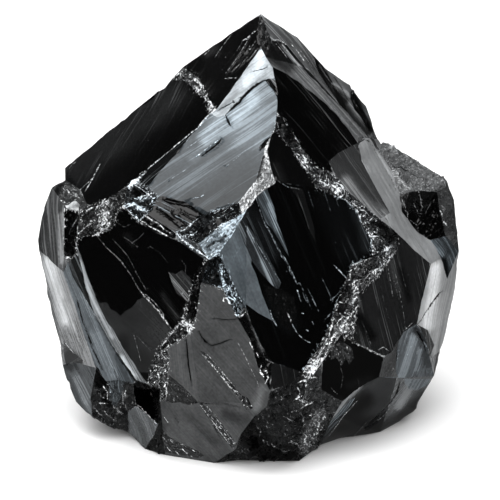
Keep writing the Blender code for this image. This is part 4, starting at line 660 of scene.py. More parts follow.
def scored(points, triangles, pane, lines):
    """Cuts the triangles of one side along the lines.

    The cuts are made on the sighting plane. Each new point is set back onto the stone where its sight line
    meets the plane of the triangle it fell in: t = n.(a - S) / n.(q - S) along the line from S through q.
    It gives the points, triangles, panes, and for each line the edges that lie on it.
    """
    seen = on_sighting_plane(points)
    used = np.unique(triangles)
    local = np.full(len(points), -1)
    local[used] = np.arange(len(used))
    places, edges, edge_line = list(seen[used]), [], []
    for number, line in enumerate(lines):
        start = len(places)
        places += list(line)
        edges += [(start + i, start + i + 1) for i in range(len(line) - 1)]
        edge_line += [number] * (len(line) - 1)
    one = seen[triangles[:, 1]] - seen[triangles[:, 0]]
    two = seen[triangles[:, 2]] - seen[triangles[:, 0]]
    facing_back = one[:, 0] * two[:, 1] < one[:, 1] * two[:, 0]
    faces = local[np.where(facing_back[:, None], triangles[:, ::-1], triangles)]
    cut_places, cut_edges, cut_faces, point_from, edge_from, face_from = geometry.delaunay_2d_cdt(
        [Vector(place) for place in places], edges, faces.tolist(), FILL_INSIDE, LINES_MERGE_WITHIN, True
    )
    kept = [i for i, origin in enumerate(face_from) if origin]
    cut_faces = np.array([cut_faces[i] for i in kept])
    owner = np.array([face_from[i][0] for i in kept])
    place = np.array([tuple(p) for p in cut_places])
    lines_of_sight = place[:, :1] * ACROSS + place[:, 1:] * LEANING_UP - STATION
    corners = points[triangles]
    normals = np.cross(corners[:, 1] - corners[:, 0], corners[:, 2] - corners[:, 0])
    of_point = np.zeros(len(place), int)
    of_point[cut_faces] = owner[:, None]
    reach = (normals[of_point] * (corners[of_point, 0] - STATION)).sum(axis=1)
    reach = reach / (normals[of_point] * lines_of_sight).sum(axis=1)
    placed = STATION + reach[:, None] * lines_of_sight
    index = np.arange(len(points), len(points) + len(place))
    came_from = np.array([min(origin, default=len(used)) for origin in point_from])
    index[came_from < len(used)] = used[came_from[came_from < len(used)]]
    points = np.concatenate([points, placed])
    new = index[cut_faces]
    new = np.where(facing_back[owner][:, None], new[:, ::-1], new)
    on_line = [[] for _ in lines]
    for edge, origins in zip(cut_edges, edge_from):
        for origin in origins:
            if origin < len(edges):
                on_line[edge_line[origin]].append(index[list(edge)])
    return points, new, pane[owner], on_line


vein_routes = [route(words) for words in VEINS + BACK_VEINS]
crack_routes = [route(words) for words in CRACKS + BACK_CRACKS]
patch_outlines = {name: seen_places(words.split()[1:]) for name, words in PATCHES.items()}
lines = [line for line, _, _ in vein_routes + crack_routes]
lines += [np.concatenate([outline, outline[:1]]) for outline in patch_outlines.values()]
in_back = [False] * len(VEINS) + [True] * len(BACK_VEINS)
in_back += [False] * len(CRACKS) + [True] * len(BACK_CRACKS)
in_back += [words.split()[0] in BACK_PANES for words in PATCHES.values()]
line_edges = [None] * len(lines)
sides = []
for behind in (False, True):
    chosen = np.flatnonzero(np.array(in_back) == behind)
    side = (pane >= front_count) == behind
    points, side_triangles, side_pane, side_edges = scored(
        points, triangles[side], pane[side], [lines[i] for i in chosen]
    )
    sides.append((side_triangles, side_pane))
    for i, edges in zip(chosen, side_edges):
        line_edges[i] = edges
triangles, pane = (np.concatenate(halves) for halves in zip(*sides))

# The skin of the stone, divided finely enough to carry its relief: the coarse size in sound glass, the
# fine one in crushed seams and beside a line.

PANE_EDGE = 1.3
BACK_PANE_EDGE = 2.4
SEAM_EDGE = 0.66
BACK_SEAM_EDGE = 0.95
BASE_EDGE = 9.0
LINE_EDGE = 0.78
LINE_REACH = 0.6
LINE_REACH_OF_SIZE = 0.3
# The cells that points are sorted into, in mm, and how far a corner of one lies from its middle.
CELL_SIZE = 3.0
CELL_REACH = 0.87 * CELL_SIZE
TIP_WIDTH = 0.1
TIP_LENGTH = 6
SPLIT_ROUNDS = 9
EVENING_ROUNDS = 6


def pane_borders(triangles, pane):
    """The edges between two different panes."""
    sides = np.sort(np.stack([triangles, np.roll(triangles, -1, axis=1)], axis=2), axis=2).reshape(-1, 2)
    edges, side = np.unique(sides, axis=0, return_inverse=True)
    lowest, highest = np.full(len(edges), len(sides)), np.full(len(edges), -1)
    np.minimum.at(lowest, side.reshape(-1), np.repeat(pane, 3))
    np.maximum.at(highest, side.reshape(-1), np.repeat(pane, 3))
    return edges[lowest != highest]


def split_long_edges(points, triangles, pane, limit):
    """One round of splitting: each edge longer than its triangles allow gets a new point at its middle."""
    sides = np.sort(np.stack([triangles, np.roll(triangles, -1, axis=1)], axis=2), axis=2)
    edges, side = np.unique(sides.reshape(-1, 2), axis=0, return_inverse=True)
    side = side.reshape(-1, 3)
    allowed = np.full(len(edges), np.inf)
    np.minimum.at(allowed, side, limit[:, None])
    ends = points[edges]
    long = np.linalg.norm(ends[:, 0] - ends[:, 1], axis=1) > allowed
    middle = np.where(long, len(points) + np.cumsum(long) - 1, -1)
    points = np.concatenate([points, ends[long].mean(axis=1)])
    count = long[side].sum(axis=1)
    # Each triangle is turned until its split edges come first.
    first = np.where(count == 1, np.argmax(long[side], axis=1), (np.argmin(long[side], axis=1) + 1) % 3)
    turn = (np.arange(3) + np.where(count == 3, 0, first)[:, None]) % 3
    a, b, c = np.take_along_axis(triangles, turn, axis=1).T
    ab, bc, ca = middle[np.take_along_axis(side, turn, axis=1)].T
    pieces = {
        0: [(a, b, c)],
        1: [(a, ab, c), (ab, b, c)],
        2: [(ab, b, bc), (a, ab, bc), (a, bc, c)],
        3: [(a, ab, ca), (ab, b, bc), (bc, c, ca), (ab, bc, ca)],
    }
    parts = [
        (np.column_stack(corners)[count == splits], pane[count == splits])
        for splits, cut in pieces.items()
        for corners in cut
    ]
    return points, np.concatenate([part[0] for part in parts]), np.concatenate([part[1] for part in parts])


def evened(points, triangles, fixed):
    """Draws each free point towards the middle of its neighbours, which leaves a flat pane flat."""
    from_ends = triangles[:, [0, 1, 2, 1, 2, 0]].ravel()
    to_ends = triangles[:, [1, 2, 0, 0, 1, 2]].ravel()
    count = np.bincount(from_ends, minlength=len(points))
    for _ in range(EVENING_ROUNDS):
        total = [np.bincount(from_ends, points[to_ends, axis], len(points)) for axis in range(3)]
        total = np.column_stack(total) / np.maximum(count, 1)[:, None]
        points = np.where(fixed[:, None], points, (points + total) / 2)
    return points


def distance_to_line(points, start, end):
    """Distance from each point to a straight line: to its nearest place, held between the two ends."""
    along = end - start
    offset = points - start
    share = np.clip(offset @ along / (along @ along), 0, 1)
    return np.linalg.norm(offset - share[:, None] * along, axis=1)


def distance_to_lines(points, starts, ends):
    """Least distance from each point to any of the lines, and the number of the nearest.

    Points and lines are in space, or both as seen from the station. The points are sorted into cells. A
    line is measured from the points of a cell only if it lies no farther from the middle of the cell than
    the nearest line does, plus twice the reach of the cell.
    """
    cells, home = np.unique(np.floor(points / CELL_SIZE), axis=0, return_inverse=True)
    home = home.reshape(-1)
    centres = (cells + 0.5) * CELL_SIZE
    from_centres = np.array([distance_to_line(centres, start, end) for start, end in zip(starts, ends)])
    may_be_nearest = from_centres < from_centres.min(axis=0) + 2 * CELL_REACH
    nearest, which = np.full(len(points), np.inf), np.zeros(len(points), int)
    for number, (start, end) in enumerate(zip(starts, ends)):
        mine = np.flatnonzero(may_be_nearest[number, home])
        gap = distance_to_line(points[mine], start, end)
        closer = gap < nearest[mine]
        nearest[mine[closer]], which[mine[closer]] = gap[closer], number
    return nearest, which


def drawn(points, routes, edges):
    """Distance from the nearest line in its own half-widths, and that line's tone.

    A line thins to a tenth of its width at both ends: w = w0 * (0.1 + 0.9 * min(1, e / 6 w0)), where e is
    the distance from its nearer end.
    """
    pieces = [points[np.array(pairs)] for pairs in edges]
    owner = np.repeat(np.arange(len(pieces)), [len(piece) for piece in pieces])
    joined = np.concatenate(pieces)
    gap, which = distance_to_lines(flat, joined[:, 0], joined[:, 1])
    which = owner[which]
    tips = np.full(len(flat), np.inf)
    for number, pairs in enumerate(edges):
        index, uses = np.unique(np.array(pairs), return_counts=True)
        mine = which == number
        for tip in points[index[uses == 1]]:
            tips[mine] = np.minimum(tips[mine], np.linalg.norm(flat[mine] - tip, axis=1))
    width = np.array([width for _, width, _ in routes])[which]
    line_tone = np.array([line_tone for _, _, line_tone in routes])[which]
    thinned = width * (TIP_WIDTH + (1 - TIP_WIDTH) * np.minimum(1, tips / (TIP_LENGTH * width)))
    return gap / thinned, line_tone


coarse_points, coarse_triangles, coarse_pane = points, triangles, pane
border_ends = points[pane_borders(triangles, pane)]
all_ends = np.concatenate([points[np.array(pairs)] for pairs in line_edges])
line_count = len(vein_routes) + len(crack_routes)
drawn_ends = np.concatenate([points[np.array(pairs)] for pairs in line_edges[:line_count]])
limit = np.where(is_rough, SEAM_EDGE, PANE_EDGE)
limit[front_count:] = np.where(is_rough[front_count:], BACK_SEAM_EDGE, BACK_PANE_EDGE)
limit[pane_names.index("base")] = BASE_EDGE
for _ in range(SPLIT_ROUNDS):
    middles = points[triangles].mean(axis=1)
    scored_pane = ~is_rough[pane] & (pane != pane_names.index("base"))
    near = np.full(len(triangles), np.inf)
    near[scored_pane] = distance_to_lines(middles[scored_pane], drawn_ends[:, 0], drawn_ends[:, 1])[0]
    size = np.linalg.norm(points[triangles[:, 0]] - middles, axis=1)
    beside = near < LINE_REACH + size * LINE_REACH_OF_SIZE
    face_limit = np.where(beside, np.minimum(limit[pane], LINE_EDGE), limit[pane])
    points, triangles, pane = split_long_edges(points, triangles, pane, face_limit)

used, triangles = np.unique(triangles, return_inverse=True)
points, triangles = points[used], triangles.reshape(-1, 3)
on_line = distance_to_lines(points, all_ends[:, 0], all_ends[:, 1])[0] < LINES_MERGE_WITHIN
on_line[pane_borders(triangles, pane)] = True
flat = evened(points, triangles, on_line)
seen = on_sighting_plane(flat)
border, _ = distance_to_lines(flat, border_ends[:, 0], border_ends[:, 1])
vein, vein_tone = drawn(coarse_points, vein_routes, line_edges[:len(vein_routes)])
crack, _ = drawn(coarse_points, crack_routes, line_edges[len(vein_routes):line_count])

# The relief pressed into that skin. Sound glass is dished in broad shells that die out at the pane's
# border, with fainter ripples on them; a seam is lumpy and every grain in it is a facet; a vein stands
# proud and a crack is a groove.

SHELL_RELIEF, SHELL_SIZE, SHELL_FADE = 0.9, 13.0, 3.0
SEAM_RELIEF, LUMP_SIZE, LUMP_FADE = 1.3, 3.2, 0.5
CHIP_RELIEF, CHIP_SIZE, CHIP_OFFSET, CHIP_REACH = 0.7, 1.9, 40.0, 0.05
RIPPLE_RELIEF, RIPPLE_SIZE = 0.05, 3.5
FRAGMENT_SLOPE, FRAGMENT_SIZE = 1.1, 1.4
GRAIN_RELIEF, GRAIN_FADE, GRAIN_SIZE = 0.16, 0.3, 0.01
VEIN_RISE, CRACK_DEPTH, LINE_SHOULDER = 0.05, 0.4, 1.5
GROUND_CLEARANCE = 0.15
MIX_AXES = np.array([73856093, 19349663, 83492791])
MIX_FIRST, MIX_SECOND, MIX_LIMIT = 1274126177, 668265263, 0x7FFFFFFF
AXIS_SHIFT = 100


def random_at(cells):
    """A fixed random number from 0 to 1 for each cell of a lattice, by mixing its three whole numbers."""
    mixed = cells.astype(np.int64) @ MIX_AXES
    mixed = (mixed ^ (mixed >> 13)) * MIX_FIRST & MIX_LIMIT
    mixed = (mixed ^ (mixed >> 16)) * MIX_SECOND & MIX_LIMIT
    return (mixed >> 7) / float(MIX_LIMIT >> 7)


def lumps(points, size):
    """Smooth random lumps from -0.5 to 0.5, one for each `size` mm.

    A place takes the random numbers of the lattice corners round it, blended by 3 t^2 - 2 t^3 of how far it
    lies between them.
    """
    cell = np.floor(points / size)
    blend = points / size - cell
    blend = blend**2 * (3 - 2 * blend)
    total = np.zeros(len(points))
    for step in np.ndindex(2, 2, 2):
        weight = np.where(step, blend, 1 - blend).prod(axis=1)
        total += weight * random_at(cell + step)
    return total - 0.5


def outward(points, triangles):
    """Unit normal at each point, the mean of its triangles' normals by area."""
    ends = points[triangles]
    facing = np.cross(ends[:, 1] - ends[:, 0], ends[:, 2] - ends[:, 0])
    total = np.zeros_like(points)
    for corner in range(3):
        np.add.at(total, triangles[:, corner], facing)
    return total / np.linalg.norm(total, axis=1, keepdims=True)


def fragments(places, size):
    """Heights that break a surface into angular facets.

    Space is split into cells, each of the places nearest to one jittered lattice point. A place's height
    is its height on a plane tilted at random about the middle of its cell.
    """
    home = np.floor(places / size)
    nearest, chosen, offset = np.full(len(places), np.inf), np.zeros_like(places), np.zeros_like(places)
    for step in np.ndindex(3, 3, 3):
        cell = home + step - 1
        jitter = np.column_stack([random_at(cell + AXIS_SHIFT * axis) for axis in (1, 2, 3)])
        away = places - (cell + jitter) * size
        gap = np.linalg.norm(away, axis=1)
        closer = gap < nearest
        nearest[closer], chosen[closer], offset[closer] = gap[closer], cell[closer], away[closer]
    tilt = np.column_stack([random_at(chosen + AXIS_SHIFT * axis) for axis in (4, 5, 6)]) - 0.5
    return (offset * tilt).sum(axis=1)


def mean_at_points(values, triangles, count):
    """The mean, at each point, of a value that its triangles have."""
    total = np.bincount(triangles.ravel(), np.repeat(values.astype(float), 3), count)
    return total / np.maximum(np.bincount(triangles.ravel(), minlength=count), 1)


placed = flat - middle
rough = mean_at_points(is_rough[pane], triangles, len(placed))
on_base = np.zeros(len(placed), bool)
on_base[triangles[pane == pane_names.index("base")]] = True
shells = SHELL_RELIEF * lumps(placed, SHELL_SIZE) * (1 - np.exp(-border / SHELL_FADE))
ripples = RIPPLE_RELIEF * lumps(placed, RIPPLE_SIZE) * (1 - np.exp(-border))
seam_lumps = SEAM_RELIEF * (lumps(placed, LUMP_SIZE) + lumps(placed, LUMP_SIZE / 2) / 2)
seam_lumps = seam_lumps * (1 - np.exp(-border / LUMP_FADE))
grains = FRAGMENT_SLOPE * fragments(placed, FRAGMENT_SIZE)
grains += GRAIN_RELIEF * (random_at(np.floor(placed / GRAIN_SIZE)) - 0.5)
grains *= 1 - np.exp(-border / GRAIN_FADE)
chips = CHIP_RELIEF * np.minimum(lumps(placed + CHIP_OFFSET, CHIP_SIZE), 0) * (border < CHIP_REACH)
line_relief = VEIN_RISE * np.clip(LINE_SHOULDER - vein, 0, 1)
line_relief -= CRACK_DEPTH * np.clip(LINE_SHOULDER - crack, 0, 1)
height = (shells + ripples + line_relief) * (1 - rough) + (seam_lumps + grains) * rough + chips
placed = placed + np.where(on_base, 0, height)[:, None] * outward(flat, triangles)
placed[:, 2] = np.maximum(placed[:, 2], np.where(on_base, 0, GROUND_CLEARANCE))

# The finish of each pane. Where the break ran clean the glass is black and bright; where it hackled, fine
# parallel steps scatter light and the pane looks grey or silver. A pane has a tone, from 0 to 1 as the eye
# sees it, how strongly it is streaked, and the angle at which its streaks are seen. The tone is partly that
# hackled grey and partly painted light: the silver, rim, left, bright right and grey outer panes are set
# lighter for the softbox and floor they face, a painted sheen and reflection.

FINISH = {
    "roof": (0.07, 0.3, 62), "roof_seam": (0.5, 1, 60), "upper_roof": (0.09, 0.4, 55),
    "peak_knob": (0.22, 0.6, 60), "silver": (0.31, 0.2, 34), "roof_step": (0.27, 0.7, 40),
    "slate": (0.12, 1, 152), "rough_lap": (0.2, 1, 30), "rim_plate": (0.66, 0.45, 40),
    "rim": (0.66, 0.5, 60), "lap_edge": (0.41, 0.7, 140), "knot_a": (0.56, 1, 20),
    "knot_b": (0.22, 0.9, 20), "knot_edge": (0.03, 0.7, 140), "crushed_ground": (0.26, 0.9, 60),
    "block_top": (0.32, 0.5, 0), "block_front": (0.3, 0.3, 94), "slot_left": (0.05, 0.9, 90),
    "slot_right": (0.03, 0.9, 90), "left_pane": (0.5, 0.15, 110), "left_slope": (0.36, 0.1, 114),
    "left_gap": (0.2, 0.6, 114), "left_bevel": (0.42, 0.2, 118), "lower_left": (0.32, 0.15, 120),
    "rubble": (0.22, 0.5, 100), "foot_hollow": (0.02, 0.3, 100), "foot_slate": (0.37, 0.1, 110),
    "foot_chips": (0.18, 0.5, 100), "black_left": (0.03, 0.3, 130), "middle_seam": (0.22, 0.9, 100),
    "seam_knot": (0.42, 0.9, 60), "centre_left": (0.27, 0.03, 95), "centre": (0.24, 0.02, 133),
    "foot_left": (0.28, 0.02, 129), "foot_front": (0.2, 0.5, 120), "right_seam": (0.3, 1, 110),
    "dark_cleft": (0.06, 0.3, 112), "small_grey": (0.15, 0.4, 100), "under_ledge": (0.2, 0.6, 60),
    "small_dark": (0.08, 0.5, 112), "slate_right": (0.3, 0.02, 112), "big_right": (0.03, 0.4, 113),
    "upper_seam": (0.36, 1, 130), "shoulder_seam": (0.36, 1, 110), "lower_seam": (0.4, 1, 60),
    "black_right": (0.06, 0.8, 130), "light_band": (0.37, 0.15, 133), "dark_band": (0.18, 0.5, 128),
    "outer_band": (0.36, 0.25, 130), "grey_inner": (0.22, 0.15, 125), "grey_outer": (0.51, 0.03, 117),
    "shoulder": (0.41, 0.25, 160), "shoulder_hollow_a": (0.1, 0.4, 112),
    "shoulder_hollow_b": (0.02, 0.1, 112), "shoulder_strip": (0.24, 0.2, 105),
    "blue_patch": (0.34, 0.35, 120), "bright_right": (0.58, 0.15, 80),
    "streaked_right": (0.17, 0.35, 104), "black_low": (0.02, 0.4, 100), "under_seam": (0.3, 0.5, 60),
    "grey_low_a": (0.38, 0.12, 70), "grey_low_b": (0.2, 0.08, 52), "grey_low_c": (0.4, 0.12, 50),
    "grey_low_d": (0.55, 0.5, 80), "slate_wedge": (0.31, 0.02, 114), "slate_band": (0.3, 0.5, 116),
    "bright_band": (0.36, 0.45, 116), "dim_band": (0.2, 0.6, 110), "mirrored_sheet": (0.155, 0.02, 135),
    "hackled_corner": (0.3, 0.5, 130), "dark_wedge": (0.16, 0.6, 125), "dark_notch": (0.1, 0.5, 120),
    "silver_notch": (0.1, 0.4, 40), "oval_left": (0.3, 0.15, 133), "oval_right": (0.3, 0.15, 133),
    # oval_foot is set lighter to make up for its pane facing the light less than the oval above it: painted
    # light.
    "oval_foot": (0.46, 0.1, 62), "oval_side": (0.29, 0.15, 66), "foot_gap": (0.06, 0.7, 116),
    "foot_tongue": (0.3, 0.3, 116), "silver_chip": (0.2, 0.9, 130), "slate_foot": (0.26, 0.5, 116),
    "gap_slate": (0.3, 0.2, 118), "bright_chip": (0.62, 0.2, 30), "foot_vein": (0.36, 0.7, 129),
    "foot_specks": (0.3, 0.5, 160), "centre_vein": (0.34, 0.75, 129), "vein_knot": (0.36, 1, 60),
    "dim_corner": (0.3, 0.5, 100), "blue_streaks": (0.4, 0.7, 52), "slope_wedge": (0.03, 0.3, 110),
    "mottled_foot": (0.25, 0.15, 30), "silver_top": (0.6, 0.08, 35), "foot_crumbs": (0.26, 0.5, 130),
    "cloudy_patch": (0.3, 0.7, 95), "dim_mottle": (0.1, 0.6, 115),
    # The back. Many of its tones are set lighter than the glass would be, to make up for the weaker light
    # behind the stone: painted light.
    "back_roof": (0.07, 0.4, 55), "back_roof_low": (0.04, 0.5, 60), "back_crest": (0.44, 0.15, 68),
    "back_high": (0.42, 0.16, 60), "back_scar": (0.36, 0.25, 40), "back_right_high": (0.05, 0.6, 118),
    "back_middle": (0.03, 0.5, 106), "back_shoulder": (0.38, 0.25, 160), "back_left": (0.34, 0.04, 112),
    "back_side": (0.5, 0.18, 108), "back_right": (0.28, 0.12, 100), "back_edge": (0.36, 0.25, 108),
    "back_left_seam": (0.46, 1, 100), "back_right_seam": (0.46, 1, 80), "low_side": (0.42, 0.15, 112),
    "low_left": (0.03, 0.4, 116), "belly": (0.04, 0.5, 112), "belly_ledge": (0.4, 0.9, 10),
    "low_middle": (0.32, 0.03, 95), "low_right": (0.04, 0.5, 100), "low_edge": (0.5, 0.2, 84),
    "under_left": (0.34, 0.3, 100), "under_back_left": (0.12, 0.5, 100), "under_back": (0.3, 0.5, 100),
    "under_back_right": (0.3, 0.1, 90), "under_right": (0.34, 0.15, 60), "back_bright": (0.72, 0.1, 60),
    "back_wedge": (0.4, 0.04, 104), "belly_wedge": (0.38, 0.04, 108), "low_wedge": (0.36, 0.05, 100),
    "back_knot": (0.4, 1, 115),
}
UNSEEN_FINISH = (0.2, 0.5, 90)
# Panes painted faintly blue, and how much: the blue is a painted reflection of cool light in the glass.
COOL = {
    "silver": 1, "slate": 1, "slate_right": 1.1, "right_seam": 1, "rim_plate": 1, "left_slope": 0.8,
    "grey_low_a": 0.8, "blue_patch": 1, "oval_foot": 0.8, "foot_tongue": 0.8, "knot_b": 0.8,
    "knot_a": 0.5, "lap_edge": 0.6, "lower_left": 0.5, "left_bevel": 0.4, "left_gap": 0.5,
    "roof_step": 0.5, "rough_lap": 0.6, "big_right": 0.8, "foot_slate": 0.4, "left_pane": 0.2,
    "bright_right": 0.15, "upper_seam": 0.3, "shoulder_seam": 0.3, "grey_low_c": 0.3, "grey_low_b": 0.3,
    "slate_wedge": 0.9, "gap_slate": 0.9, "slate_foot": 0.8, "slate_band": 0.8, "bright_band": 1,
    "silver_notch": 1, "back_bright": 0.6, "back_wedge": 0.9, "belly_wedge": 0.8, "low_wedge": 0.8,
    "back_crest": 0.6, "silver_chip": 0.4, "silver_top": 0.6, "blue_streaks": 1, "back_high": 0.6,
    "back_left": 0.5, "low_middle": 0.4,
}
